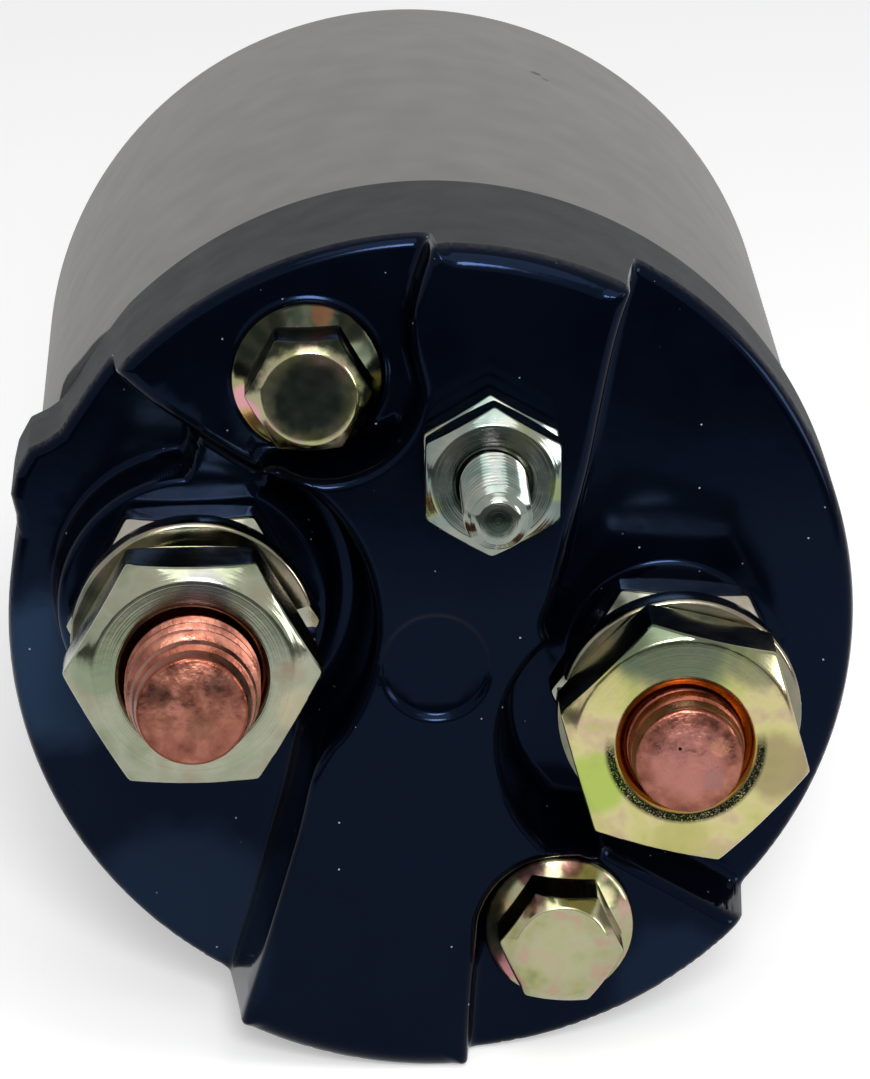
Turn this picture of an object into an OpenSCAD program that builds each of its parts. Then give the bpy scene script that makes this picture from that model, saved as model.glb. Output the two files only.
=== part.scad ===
// Starter solenoid relay: a drawn steel can with a two-winding coil, a plunger that it pulls in,
// and a moulded terminal cap whose two copper studs are bridged by a contact disc.
// Every piece is built along local z, from the mounting face at z = 0 towards the terminals,
// with y up. The last turn of each piece lays that axis along -Y, so the cap faces -Y.

/* [Can] */
// Outer radius of the drawn steel can
can_r = 29.9; // [29:0.1:32]
// Wall of the can
can_wall = 2; // [1.5:0.1:2.2]
// Length of the can from the mounting face to the gasket
can_len = 63.7; // [61:0.1:72]
// Thickness of the lip rolled in over the mounting plate
lip_t = 1.2; // [0.8:0.1:1.6]
// Width of that lip
lip_w = 2.4; // [1.5:0.1:3]

/* [Magnet] */
// Thickness of the mounting plate
plate_t = 8; // [7:0.1:10]
// How far the circle of mounting holes lies inside the can's lip
bolt_inset = 4.5; // [4.3:0.1:5]
// Radius of a tapped mounting hole
bolt_hole_r = 2.5; // [2:0.1:2.8]
// Depth of a tapped mounting hole
bolt_hole_depth = 6.5; // [5:0.1:6.5]
// Number of mounting holes
bolt_count = 3; // [2:1:4]
// Depth of the seat around the plunger that the return spring stands in
seat_depth = 1.2; // [0.8:0.1:2]
// Thickness of the core plate at the cap end
core_plate_t = 4; // [3:0.1:5]
// Length of the fixed core from the core plate to its pole face
core_len = 20; // [17:0.1:22]
// Radius of the core's spigot in the core plate
core_spigot_r = 8; // [7.5:0.1:9]
// Radius of the counterbore that holds the contact pressure spring
core_bore_r = 6.5; // [6.3:0.1:6.8]
// Depth of that counterbore
core_bore_depth = 8; // [7.8:0.1:10]
// Wall of the brass guide tube
guide_wall = 0.8; // [0.5:0.1:1]

/* [Plunger] */
// Radius of the plunger
plunger_r = 10.5; // [10:0.1:11]
// Radial clearance of the plunger in the guide tube
running_gap = 0.1; // [0.05:0.01:0.1]
// Travel of the plunger
stroke = 9.9; // [8:0.1:10.5]
// Gap left at the pole face when the plunger is fully in
pole_gap = 0.1; // [0.05:0.01:0.3]
// Height of the plunger's conical nose
nose_h = 3; // [2.5:0.1:4]
// Radius of the nose at its root
nose_root_r = 7; // [6:0.1:8]
// Radius of the nose at its tip
nose_tip_r = 4; // [3.5:0.1:5]
// Length of the plunger outside the mounting face at rest
plunger_out = 38; // [37:0.1:44]
// Width across the two flats of the clevis end
clevis_w = 17; // [15:0.1:19]
// Width of the clevis slot
slot_w = 7; // [5:0.1:8]
// Depth of the clevis slot
slot_depth = 12; // [11:0.1:13]
// Radius of the cross hole
eye_r = 4; // [3:0.1:4.2]
// Distance from the cross hole to the end of the plunger
eye_edge = 6.5; // [6:0.1:7]

/* [Windings] */
// Wall of the bobbin's core tube
bobbin_wall = 1.5; // [1:0.1:1.8]
// Thickness of a bobbin flange
flange_t = 1.2; // [1:0.1:2]
// Gap between a bobbin flange and the can
flange_gap = 1.4; // [0.5:0.1:1.6]
// Share of the winding space that the pull-in winding takes
pull_in_share = 0.57; // [0.4:0.01:0.65]
// Insulation between the two windings
insulation_t = 0.3; // [0.2:0.1:0.6]
// Margin between the finished coil and the edge of the bobbin's flanges
winding_margin = 0.95; // [0.5:0.05:1.5]
// Thickness of the tape wrap
wrap_t = 0.4; // [0.2:0.1:0.5]
// Radius of a winding lead
lead_r = 0.6; // [0.4:0.1:0.7]
// Radial clearance of a lead in its holes
lead_gap = 0.3; // [0.2:0.1:0.5]

/* [Contacts] */
// Radius of the contact rod
rod_r = 2.5; // [2:0.1:2.8]
// Travel of the contact rod
contact_travel = 2.9; // [2:0.1:3]
// Gap left between disc and stud heads when closed
contact_gap = 0.05; // [0.05:0.01:0.2]
// Gap between the contact disc and the cap's screw columns
disc_gap = 0.7; // [0.5:0.1:1.5]
// Thickness of the contact disc
disc_t = 2.5; // [2:0.1:3]
// Radius of the insulators' flanges
insulator_r = 6.5; // [6:0.1:7]
// Thickness of an insulator flange
insulator_t = 1.5; // [1:0.1:1.6]
// Radius of the insulating sleeve through the disc
sleeve_r = 4.4; // [4:0.1:5]
// Radius of the rod's collar
collar_r = 5.3; // [5:0.1:5.6]
// Thickness of the rod's collar
collar_t = 1; // [0.8:0.1:1.2]
// Radius of the clip on the rod
clip_r = 4; // [3.6:0.1:4.2]
// Thickness of the clip
clip_t = 0.8; // [0.6:0.1:1]

/* [Cap] */
// Depth of the cap from its front plane to the gasket
cap_depth = 20.3; // [19:0.1:24]
// How far the cap stands out beyond the can's radius
cap_over = 1.1; // [0.6:0.1:1.6]
// Round of the front rim
cap_round = 1.65; // [1:0.05:2.2]
// Depth of the two screw ledges below the front plane
ledge_depth = 3.7; // [3:0.1:4.5]
// Depth of the two floors below the front plane
floor_depth = 10.5; // [9:0.1:11]
// Depth of the pads that the heavy studs stand on
pad_depth = 5.4; // [5:0.1:6]
// Thickness of the cap under the two floors
cap_floor_t = 3.5; // [3:0.1:4]
// Radius of the left stud's pad at its top
pad_r = 9.5; // [9.3:0.1:9.8]
// How much wider the pad is at its root
pad_draft = 0.6; // [0.2:0.1:0.8]
// Radius of the recess around the left stud
recess_r = 13.1; // [12.5:0.1:13.4]
// Radius of the boss under the right stud's nut
boss_r = 6.6; // [6.2:0.1:7.5]
// Radius of the shallow round mark at the centre
mark_r = 4.15; // [3:0.05:5]
// Depth of that mark
mark_depth = 0.3; // [0.1:0.1:0.6]
// Wall of the spigot that reaches into the can
spigot_wall = 2.2; // [1.8:0.1:2.6]
// Length of that spigot
spigot_len = 6.5; // [6:0.1:7.5]
// Radius of the columns inside the cap that the screws pass through
column_r = 4; // [3.6:0.1:4.2]
// Thickness of the gasket
gasket_t = 1; // [0.6:0.1:1.5]
// How far the gasket is squeezed out beyond the can
gasket_out = 0.3; // [0:0.1:0.6]

/* [Heavy studs] */
// Distance from the cap's side to the centre of a heavy stud
stud_inset = 13.4; // [13:0.1:13.8]
// Angle of the right stud below the horizontal, the left one is opposite
stud_angle = 10.8; // [8:0.1:13]
// Radius of a heavy stud
stud_r = 4.76; // [4.5:0.01:5]
// Width of a stud's square head
head_w = 10; // [9.6:0.1:10.5]
// Thickness of a stud's square head
head_t = 3.3; // [3:0.1:3.6]
// How far the left stud stands in front of the cap's front plane
left_stud_out = 18.7; // [17:0.1:22]
// How far the right stud stands in front of the cap's front plane
right_stud_out = 12.9; // [12:0.1:22]
// Width across flats of the heavy nuts
nut_af = 15.88; // [15:0.01:16.5]
// Thickness of the jam nuts on the heavy studs
jam_nut_t = 5; // [4.5:0.1:5.5]
// Thickness of the top nuts on the heavy studs
top_nut_t = 6.35; // [6:0.05:7]
// Outer radius of the lock washers
washer_r = 9.2; // [8.5:0.1:9.4]
// Thickness of a lock washer's wire
washer_t = 2.4; // [2:0.1:2.8]
// Height of the left lock washer as it stands
left_washer_h = 5.2; // [4:0.1:5.6]
// Height of the right lock washer as it stands
right_washer_h = 3.6; // [3:0.1:4]
// How far the nuts' threads reach into a heavy stud's
thread_bite = 0.49; // [0.4:0.01:0.6]
// Length of a stud's thread that stays free in front of its top nut before the terminal end
nut_relief = 0.3; // [0.2:0.1:0.4]
// Height of the chamfer at a stud's end
stud_chamfer = 1.2; // [0.6:0.1:1.5]

/* [Switch stud] */
// Distance from the cap's side to the centre of the switch stud
switch_inset = 15.05; // [14.6:0.05:15.5]
// Angle of the switch stud above the horizontal
switch_angle = 74.9; // [73:0.1:77]
// Radius of the switch stud
switch_stud_r = 2.41; // [2.2:0.01:2.6]
// How far the switch nuts' threads reach into the stud's
switch_thread_bite = 0.24; // [0.2:0.01:0.3]
// How far the switch stud stands in front of the cap's front plane
switch_stud_out = 15.5; // [13:0.1:18]
// Radius of the switch stud's head
switch_head_r = 2.9; // [2.8:0.1:3]
// Thickness of the switch stud's head
switch_head_t = 1.5; // [1:0.1:2]
// Width across flats of the switch nuts
switch_nut_af = 9.53; // [9:0.01:10]
// Thickness of each switch nut
switch_nut_t = 3.25; // [3:0.05:3.5]
// Thickness of the brass link under the switch stud's head
link_t = 0.8; // [0.5:0.1:1]
// Width of that link
link_w = 8; // [7.6:0.1:8.4]

/* [Cap screws] */
// Distance from the cap's side to the centre of a cap screw
screw_inset = 8.3; // [8.1:0.1:8.6]
// Angle of the upper screw above the horizontal, the lower one is opposite
screw_angle = 112.3; // [110:0.1:114]
// Radius of a screw's shank
screw_r = 2.4; // [2:0.1:2.5]
// Radius of a screw's flange
screw_flange_r = 5.1; // [4.8:0.1:5.4]
// Thickness of a screw's flange
screw_flange_t = 1; // [0.8:0.1:1.3]
// Width across flats of a screw's head
screw_af = 7.94; // [7.5:0.01:8.3]
// Height of a screw's hex above its flange
screw_hex_h = 5.5; // [4.5:0.1:6.5]

/* [Springs] */
// Gap between the plunger and its return spring
spring_gap = 1.9; // [1.6:0.1:2.4]
// Wire radius of the plunger return spring
spring_wire_r = 0.8; // [0.6:0.05:0.9]
// Length of the plunger return spring at rest
spring_len = 20; // [19:0.1:21]
// Curls of the plunger return spring
spring_curls = 5; // [4:1:6]
// Thickness of the spring retainer
retainer_t = 1.2; // [1:0.1:1.5]
// Thickness of the retaining ring
retainer_ring_t = 1; // [0.8:0.1:1.2]
// Radial depth of the ring's groove
groove_depth = 0.9; // [0.5:0.1:1]
// Mean radius of the contact pressure spring
pressure_spring_r = 4.6; // [4.5:0.05:4.7]
// Wire radius of the contact pressure spring
pressure_wire_r = 0.5; // [0.4:0.05:0.55]
// Curls of the contact pressure spring
pressure_curls = 4; // [3:1:5]
// Mean radius of the contact return spring
return_spring_r = 5.3; // [5.2:0.05:5.4]
// Wire radius of the contact return spring
return_wire_r = 0.35; // [0.3:0.05:0.4]
// Curls of the contact return spring
return_curls = 3; // [3:1:4]

/* [Hidden] */
$fn = 96;

// Overrun of every cut, and the clearance between fixed pieces that fit each other
overrun = 1;
fit_gap = 0.05;

// Places along the axis, from the mounting face towards the terminals
cap_rear = can_len + gasket_t;
cap_front = cap_rear + cap_depth;
spigot_end = cap_rear - spigot_len;
core_plate_front = spigot_end - fit_gap;
core_plate_rear = core_plate_front - core_plate_t;
pole_face = core_plate_rear - core_len;
coil_rear = plate_t + fit_gap;
coil_front = core_plate_rear - fit_gap;
ledge_face = cap_front - ledge_depth;
floor_face = cap_front - floor_depth;
pad_face = cap_front - pad_depth;
ceiling = floor_face - cap_floor_t;

// Radii that follow from the fits
can_bore_r = can_r - can_wall;
plate_r = can_bore_r - fit_gap;
cap_r = can_r + cap_over;
guide_bore_r = plunger_r + running_gap;
guide_r = guide_bore_r + guide_wall;
bobbin_bore_r = guide_r + fit_gap;
bobbin_core_r = bobbin_bore_r + bobbin_wall;
flange_r = can_bore_r - flange_gap;
wrap_r = flange_r - winding_margin;
hold_in_r = wrap_r - wrap_t;
pull_in_r = bobbin_core_r + (hold_in_r - bobbin_core_r - insulation_t) * pull_in_share;
insulation_r = pull_in_r + insulation_t;
bolt_circle_r = can_bore_r - lip_w - bolt_inset;
spring_r = plunger_r + spring_gap + spring_wire_r;
spigot_r = can_bore_r - fit_gap;
cavity_r = spigot_r - spigot_wall;
corner_share = 1 / cos(30);

// The plunger and what it pushes
plunger_shoulder = pole_face - pole_gap - stroke;
nose_tip = plunger_shoulder + nose_h;
eye_place = -plunger_out + eye_edge;
ring_rear = -spring_len - retainer_t - retainer_ring_t;
rod_tip = nose_tip + stroke + fit_gap - contact_travel;

// The contacts, from the cap's inner ceiling down to the core
seal_t = 0.8;
seal_r = 6.5;
head_rear = ceiling - seal_t - head_t;
disc_front = head_rear - contact_travel - contact_gap;
disc_rear = disc_front - disc_t;
disc_bore_r = sleeve_r + fit_gap;
collar_rear = core_plate_front - core_bore_depth + fit_gap + collar_t;
collar_front = collar_rear + collar_t;
rear_insulator_rear = disc_rear - insulator_t;
front_insulator_front = disc_front + insulator_t;
clip_front = front_insulator_front + clip_t;
return_seat = ceiling + cap_floor_t / 2;
rod_end = return_seat + rod_r / 2;
rod_bore_r = rod_r + running_gap;
guide_hole_end = rod_end + contact_travel + rod_r / 2;

// Places of the terminals in the cap's plane
stud_circle_r = cap_r - stud_inset;
motor_x = stud_circle_r * cos(stud_angle);
motor_z = -stud_circle_r * sin(stud_angle);
battery_x = -motor_x;
battery_z = -motor_z;
switch_circle_r = cap_r - switch_inset;
switch_x = switch_circle_r * cos(switch_angle);
switch_z = switch_circle_r * sin(switch_angle);
screw_circle_r = cap_r - screw_inset;
disc_r = screw_circle_r - column_r - disc_gap;

// The leads: on which circle and at which angle each one runs
pull_in_lead_r = pull_in_r - lead_r - fit_gap;
hold_in_lead_r = (insulation_r + hold_in_r) / 2;
pull_in_switch_angle = switch_angle - 8;
ground_angle = 200;

// Radii, chamfers and turns of the hardware
nut_face_share = 0.9;
nut_chamfer_share = 0.07;
thread_gap = 0.05;
nut_bore_r = stud_r - thread_bite + thread_gap;
switch_bore_r = switch_stud_r - switch_thread_bite + thread_gap;
lower_screw_turn = -6;

// Outlines in the cap's plane, as shares of the cap's radius
right_wall_shares = [
    [0.55, 1.02], [0.471, 0.881], [0.426, 0.771], [0.394, 0.632],
    [0.358, 0.465], [0.313, 0.3], [0.277, 0.155], [0.255, 0.058],
];
right_arc_share = [0.468, -0.206, 0.326];
right_ledge_shares = [[0.374, -0.484], [0.497, -0.561], [0.59, -0.616], [0.674, -0.665], [0.8, -0.75]];
left_ledge_shares = [
    [-0.84, 0.76], [-0.732, 0.687], [-0.645, 0.606], [-0.568, 0.548], [-0.465, 0.481], [-0.377, 0.423],
];
fan_wall_shares = [
    [-0.26, -0.1], [-0.287, -0.197], [-0.326, -0.39], [-0.377, -0.561],
    [-0.423, -0.71], [-0.455, -0.806], [-0.5, -0.95],
];
upper_wall_shares = [[0.02, 1.05], [0.01, 0.97], [-0.019, 0.903], [-0.035, 0.832], [-0.035, 0.758]];
upper_arc_share = [-0.245, 0.684, 0.23];
lower_wall_shares = [[0.058, -1.05], [0.061, -0.848], [0.074, -0.726]];
lower_arc_share = [0.277, -0.677, 0.2];
web_shares = [
    [-0.558, 0.106], [-0.59, 0.41], [-0.555, 0.44], [-0.539, 0.503],
    [-0.45, 0.52], [-0.31, 0.5], [-0.345, 0.46],
];
lug_shares = [[-0.7, 0.4], [-0.88, 0.47], [-0.955, 0.46], [-0.985, 0.4], [-0.985, 0.3], [-0.7, 0.25]];
rim_share = 1.2;

function scaled(shares, size) = [for (p = shares) p * size];
function arc(spec, from, to, steps = 16) = [
    for (i = [0 : steps]) let (a = from + (to - from) * i / steps)
        [spec[0] + spec[2] * cos(a), spec[1] + spec[2] * sin(a)]
];

// Turns a piece from the local frame to the part's own frame
module in_frame() {
    rotate([90, 0, 0]) children();
}

module slab(r, from, to) {
    translate([0, 0, from]) cylinder(h = to - from, r = r);
}

module ring(r_out, r_in, from, to) {
    difference() {
        slab(r_out, from, to);
        slab(r_in, from - overrun, to + overrun);
    }
}

module at_place(x, y) {
    translate([x, y, 0]) children();
}

module at_angle(r, angle) {
    translate([r * cos(angle), r * sin(angle), 0]) children();
}

module prism(points, from, to) {
    translate([0, 0, from]) linear_extrude(height = to - from) polygon(points);
}

// Steel can

module can_shell() {
    color("darkgray") in_frame() difference() {
        slab(can_r, 0, can_len);
        slab(can_bore_r, lip_t, can_len + overrun);
        slab(can_bore_r - lip_w, -overrun, lip_t + overrun);
    }
}

module mounting_plate() {
    color("gray") in_frame() difference() {
        union() {
            slab(plate_r, lip_t + fit_gap, plate_t);
            slab(can_bore_r - lip_w - fit_gap, 0, plate_t);
        }
        slab(guide_r + fit_gap, -overrun, plate_t + overrun);
        slab(spring_r + 2 * spring_wire_r, -overrun, seat_depth);
        for (i = [0 : bolt_count - 1])
            at_angle(bolt_circle_r, 90 + i * 360 / bolt_count)
                slab(bolt_hole_r, -overrun, bolt_hole_depth);
    }
}

// Magnet

module lead_holes(from, to) {
    hole_r = lead_r + lead_gap;
    at_angle(pull_in_lead_r, pull_in_switch_angle) slab(hole_r, from, to);
    at_angle(pull_in_lead_r, -stud_angle) slab(hole_r, from, to);
    at_angle(hold_in_lead_r, switch_angle) slab(hole_r, from, to);
    at_angle(hold_in_lead_r, ground_angle) slab(hole_r, from, to);
}

module both_screws() {
    for (half = [0, 1]) at_angle(screw_circle_r, screw_angle + half * 180) children();
}

module core_plate() {
    color("gray") in_frame() difference() {
        slab(plate_r, core_plate_rear, core_plate_front);
        slab(core_spigot_r + fit_gap, core_plate_rear - overrun, core_plate_front + overrun);
        lead_holes(core_plate_rear - overrun, core_plate_front + overrun);
        both_screws() slab(screw_r + thread_gap, core_plate_rear - overrun, core_plate_front + overrun);
    }
}

module fixed_core() {
    color("silver") in_frame() difference() {
        union() {
            slab(plunger_r, pole_face, core_plate_rear);
            slab(core_spigot_r, pole_face, core_plate_front);
        }
        slab(rod_bore_r, pole_face - overrun, core_plate_front + overrun);
        slab(core_bore_r, core_plate_front - core_bore_depth, core_plate_front + overrun);
        translate([0, 0, pole_face]) cylinder(h = nose_h, r1 = nose_root_r, r2 = nose_tip_r);
    }
}

module guide_tube() {
    color("goldenrod") in_frame() ring(guide_r, guide_bore_r, 0, coil_front);
}

// Coil

module bobbin() {
    color("ivory") in_frame() difference() {
        union() {
            slab(bobbin_core_r, coil_rear, coil_front);
            slab(flange_r, coil_rear, coil_rear + flange_t);
            slab(flange_r, coil_front - flange_t, coil_front);
        }
        slab(bobbin_bore_r, coil_rear - overrun, coil_front + overrun);
        lead_holes(coil_front - flange_t - overrun, coil_front + overrun);
    }
}

module winding_layer(r_in, r_out) {
    ring(r_out, r_in, coil_rear + flange_t + fit_gap, coil_front - flange_t - fit_gap);
}

module lead(r, angle, to) {
    at_angle(r, angle) slab(lead_r, coil_front - flange_t - overrun, to);
}

module pull_in_winding() {
    color("sienna") in_frame() union() {
        winding_layer(bobbin_core_r + fit_gap, pull_in_r);
        lead(pull_in_lead_r, pull_in_switch_angle, ceiling - link_t);
        lead(pull_in_lead_r, -stud_angle, head_rear);
    }
}

module winding_insulation() {
    color("khaki") in_frame() winding_layer(pull_in_r, insulation_r);
}

module hold_in_winding() {
    color("chocolate") in_frame() union() {
        winding_layer(insulation_r, hold_in_r);
        lead(hold_in_lead_r, switch_angle, ceiling - link_t);
        lead(hold_in_lead_r, ground_angle, core_plate_front);
    }
}

module winding_wrap() {
    color("tan") in_frame() winding_layer(hold_in_r, wrap_r);
}

// Plunger

module plunger() {
    slot_root = -plunger_out + slot_depth;
    color("silver") in_frame() difference() {
        union() {
            slab(plunger_r, -plunger_out, plunger_shoulder);
            translate([0, 0, plunger_shoulder]) cylinder(h = nose_h, r1 = nose_root_r, r2 = nose_tip_r);
        }
        ring(plunger_r + overrun, plunger_r - groove_depth, -spring_len - retainer_t - retainer_ring_t,
             -spring_len - retainer_t);
        for (side = [1, -1])
            translate([side * (clevis_w / 2 + plunger_r), 0, slot_root - plunger_r])
                cube([2 * plunger_r, 2 * (plunger_r + overrun), 2 * plunger_r], center = true);
        translate([0, 0, slot_root - plunger_r])
            cube([slot_w, 2 * (plunger_r + overrun), 2 * plunger_r], center = true);
        translate([-plunger_r - overrun, 0, eye_place]) rotate([0, 90, 0])
            cylinder(h = 2 * (plunger_r + overrun), r = eye_r);
    }
}

module spring_retainer() {
    color("slategray") in_frame()
        ring(spring_r + 2 * spring_wire_r, plunger_r + running_gap, -spring_len - retainer_t, -spring_len);
}

module retainer_ring() {
    gap_w = 2 * groove_depth;
    color("dimgray") in_frame() difference() {
        ring(plunger_r + 2 * groove_depth, plunger_r - groove_depth + fit_gap, ring_rear + fit_gap,
             -spring_len - retainer_t);
        translate([-gap_w / 2, 0, ring_rear - overrun])
            cube([gap_w, 2 * plunger_r, retainer_ring_t + 2 * overrun]);
    }
}

// Round wire wound into a helix between two planes, its first and last curl wound closer
module helix(r, wire_r, from, to, curls) {
    rings_per_curl = 8;
    sides = 6;
    count = curls * rings_per_curl;
    low = from + wire_r;
    high = to - wire_r;
    close_pitch = min(2 * wire_r + 0.5 * wire_r + 0.3 * wire_r, (high - low) / curls);
    open_pitch = (high - low - 2 * close_pitch) / (curls - 2);
    function rise(t) = t < 1 ? close_pitch * t
        : t > curls - 1 ? high - low - close_pitch * (curls - t)
        : close_pitch + open_pitch * (t - 1);
    points = [
        for (i = [0 : count], k = [0 : sides - 1])
            let (a = i * 360 / rings_per_curl, b = k * 360 / sides,
                 rr = r + wire_r * cos(b))
                [rr * cos(a), rr * sin(a), low + rise(i / rings_per_curl) + wire_r * sin(b)]
    ];
    walls = [
        for (i = [0 : count - 1], k = [0 : sides - 1])
            let (a = i * sides + k, b = i * sides + (k + 1) % sides, c = a + sides, d = b + sides)
                each [[a, c, b], [b, c, d]]
    ];
    first_cap = [for (k = [1 : sides - 2]) [0, k, k + 1]];
    last_cap = [for (k = [1 : sides - 2]) [count * sides, count * sides + k + 1, count * sides + k]];
    echo("least gap of the spring to itself, mm", min(close_pitch, open_pitch) - 2 * wire_r);
    polyhedron(points = points, faces = concat(walls, first_cap, last_cap), convexity = 8);
}

module plunger_return_spring() {
    color("lightsteelblue") in_frame() helix(spring_r, spring_wire_r, -spring_len, seat_depth, spring_curls);
}

// Moving contact

module contact_rod() {
    color("lightgray") in_frame() union() {
        slab(rod_r, rod_tip, rod_end);
        slab(collar_r, collar_rear, collar_front);
    }
}

module contact_disc() {
    color("peru") in_frame() ring(disc_r, disc_bore_r, disc_rear, disc_front);
}

module front_insulator() {
    color("saddlebrown") in_frame()
        ring(insulator_r, rod_r + fit_gap, disc_front, front_insulator_front);
}

module rear_insulator() {
    color("saddlebrown") in_frame() difference() {
        union() {
            slab(insulator_r, rear_insulator_rear, disc_rear);
            slab(sleeve_r, rear_insulator_rear, disc_front - fit_gap);
        }
        slab(rod_r + fit_gap, rear_insulator_rear - overrun, disc_front + overrun);
    }
}

module contact_pressure_spring() {
    color("lightsteelblue") in_frame()
        helix(pressure_spring_r, pressure_wire_r, collar_front, rear_insulator_rear, pressure_curls);
}

module contact_return_spring() {
    color("lightsteelblue") in_frame()
        helix(return_spring_r, return_wire_r, front_insulator_front, return_seat, return_curls);
}

module rod_clip() {
    color("dimgray") in_frame() difference() {
        ring(clip_r, rod_r, front_insulator_front, clip_front);
        translate([-rod_r / 2, 0, front_insulator_front - overrun])
            cube([rod_r, 2 * clip_r, clip_t + 2 * overrun]);
    }
}

// Terminal cap

module right_floor_cut() {
    prism(concat(
        scaled(right_wall_shares, cap_r),
        scaled(arc(right_arc_share, 126, 228), cap_r),
        scaled(right_ledge_shares, cap_r),
        scaled([[rim_share, -0.75], [rim_share, 1.02]], cap_r)
    ), floor_face, cap_front + overrun);
}

module left_floor_cut() {
    prism(concat(
        scaled(left_ledge_shares, cap_r),
        scaled(fan_wall_shares, cap_r),
        scaled([[-0.6, -rim_share], [-rim_share, -rim_share], [-rim_share, 0.76]], cap_r)
    ), floor_face, cap_front + overrun);
    at_place(battery_x, battery_z) slab(recess_r, floor_face, cap_front + overrun);
}

module upper_ledge_cut() {
    prism(concat(
        scaled(upper_wall_shares, cap_r),
        scaled(arc(upper_arc_share, 0, -123), cap_r),
        scaled([[-0.45, 0.44], [-0.8, 0.7], [-1, rim_share]], cap_r)
    ), ledge_face, cap_front + overrun);
}

module lower_ledge_cut() {
    prism(concat(
        scaled(lower_wall_shares, cap_r),
        scaled(arc(lower_arc_share, 172, 70), cap_r),
        scaled([[0.45, -0.45], [0.9, -0.7], [1, -rim_share]], cap_r)
    ), ledge_face, cap_front + overrun);
}

module rim_round_cut() {
    rotate_extrude() difference() {
        translate([cap_r - cap_round, cap_front - cap_round]) square(cap_round + overrun);
        translate([cap_r - cap_round, cap_front - cap_round]) circle(r = cap_round);
    }
}

module cap_body() {
    difference() {
        union() {
            slab(cap_r, cap_rear, cap_front);
            slab(spigot_r, spigot_end, cap_rear + overrun);
        }
        rim_round_cut();
        right_floor_cut();
        left_floor_cut();
        upper_ledge_cut();
        lower_ledge_cut();
        difference() {
            slab(cavity_r, spigot_end - overrun, ceiling);
            both_screws() slab(column_r, spigot_end - 2 * overrun, ceiling + overrun);
        }
        slab(mark_r, cap_front - mark_depth, cap_front + overrun);
    }
    at_place(battery_x, battery_z) translate([0, 0, floor_face - overrun])
        cylinder(h = pad_face - floor_face + overrun, r1 = pad_r + pad_draft, r2 = pad_r);
    prism(scaled(web_shares, cap_r), floor_face - overrun, pad_face);
    at_place(motor_x, motor_z) slab(boss_r, floor_face - overrun, pad_face);
    prism(scaled(lug_shares, cap_r), cap_rear, floor_face);
}

module terminal_cap() {
    color("midnightblue") in_frame() difference() {
        cap_body();
        at_place(battery_x, battery_z) slab(stud_r + fit_gap, ceiling - overrun, cap_front + overrun);
        at_place(motor_x, motor_z) slab(stud_r + fit_gap, ceiling - overrun, cap_front + overrun);
        at_place(switch_x, switch_z) slab(switch_stud_r + fit_gap, ceiling - overrun, cap_front + overrun);
        both_screws() slab(screw_r + fit_gap, spigot_end - overrun, cap_front + overrun);
        slab(return_spring_r + 2 * return_wire_r, ceiling - overrun, return_seat);
        slab(rod_bore_r, ceiling - overrun, guide_hole_end);
    }
}

module cap_gasket() {
    color("black") in_frame() ring(can_r + gasket_out, can_bore_r, can_len, cap_rear);
}

// Terminals

// A round stud, drawn at its thread's middle radius where nuts are on it
module threaded_stud(r, bite, from, nuts_from, nuts_to, to, chamfer) {
    slab(r, from, nuts_from);
    slab(r - bite, from, to - chamfer);
    slab(r, nuts_to + nut_relief, to - chamfer);
    translate([0, 0, to - chamfer]) cylinder(h = chamfer, r1 = r, r2 = r - chamfer);
}

module heavy_stud(washer_h, stud_out) {
    translate([0, 0, head_rear + head_t / 2]) cube([head_w, head_w, head_t], center = true);
    threaded_stud(stud_r, thread_bite, head_rear + head_t / 2, pad_face,
                  pad_face + jam_nut_t + washer_h + top_nut_t, cap_front + stud_out, stud_chamfer);
}

module battery_stud() {
    color("chocolate") in_frame() at_place(battery_x, battery_z) rotate([0, 0, -stud_angle])
        heavy_stud(left_washer_h, left_stud_out);
}

module motor_stud() {
    color("chocolate") in_frame() at_place(motor_x, motor_z) rotate([0, 0, -stud_angle])
        heavy_stud(right_washer_h, right_stud_out);
}

module switch_stud() {
    head_top = ceiling - link_t;
    color("darkkhaki") in_frame() at_place(switch_x, switch_z) union() {
        slab(switch_head_r, head_top - switch_head_t, head_top);
        threaded_stud(switch_stud_r, switch_thread_bite, head_top - switch_head_t, cap_front,
                      cap_front + 2 * switch_nut_t, cap_front + switch_stud_out, stud_chamfer / 2);
    }
}

module switch_link() {
    inner = switch_circle_r - link_w / 2;
    outer = hold_in_lead_r + 2 * lead_r;
    color("gold") in_frame() difference() {
        rotate([0, 0, switch_angle]) translate([inner, -link_w / 2, ceiling - link_t])
            cube([outer - inner, link_w, link_t]);
        at_place(switch_x, switch_z) slab(switch_stud_r + fit_gap, ceiling - link_t - overrun, ceiling + overrun);
    }
}

module stud_seals() {
    color("black") in_frame() {
        at_place(battery_x, battery_z) ring(seal_r, stud_r + fit_gap, ceiling - seal_t, ceiling);
        at_place(motor_x, motor_z) ring(seal_r, stud_r + fit_gap, ceiling - seal_t, ceiling);
    }
}

// Hex nut with its front corners, or both, chamfered to a round face
module hex_nut(af, h, bore_r, double) {
    corner_r = af / 2 * corner_share;
    face_r = af / 2 * nut_face_share;
    chamfer = af * nut_chamfer_share;
    difference() {
        intersection() {
            cylinder(h = h, r = corner_r, $fn = 6);
            union() {
                translate([0, 0, double ? chamfer : 0])
                    cylinder(h = double ? h - 2 * chamfer : h - chamfer, r = corner_r + overrun);
                translate([0, 0, h - chamfer]) cylinder(h = chamfer, r1 = corner_r, r2 = face_r);
                if (double) cylinder(h = chamfer, r1 = face_r, r2 = corner_r);
            }
        }
        translate([0, 0, -overrun]) cylinder(h = h + 2 * overrun, r = bore_r);
    }
}

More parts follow.
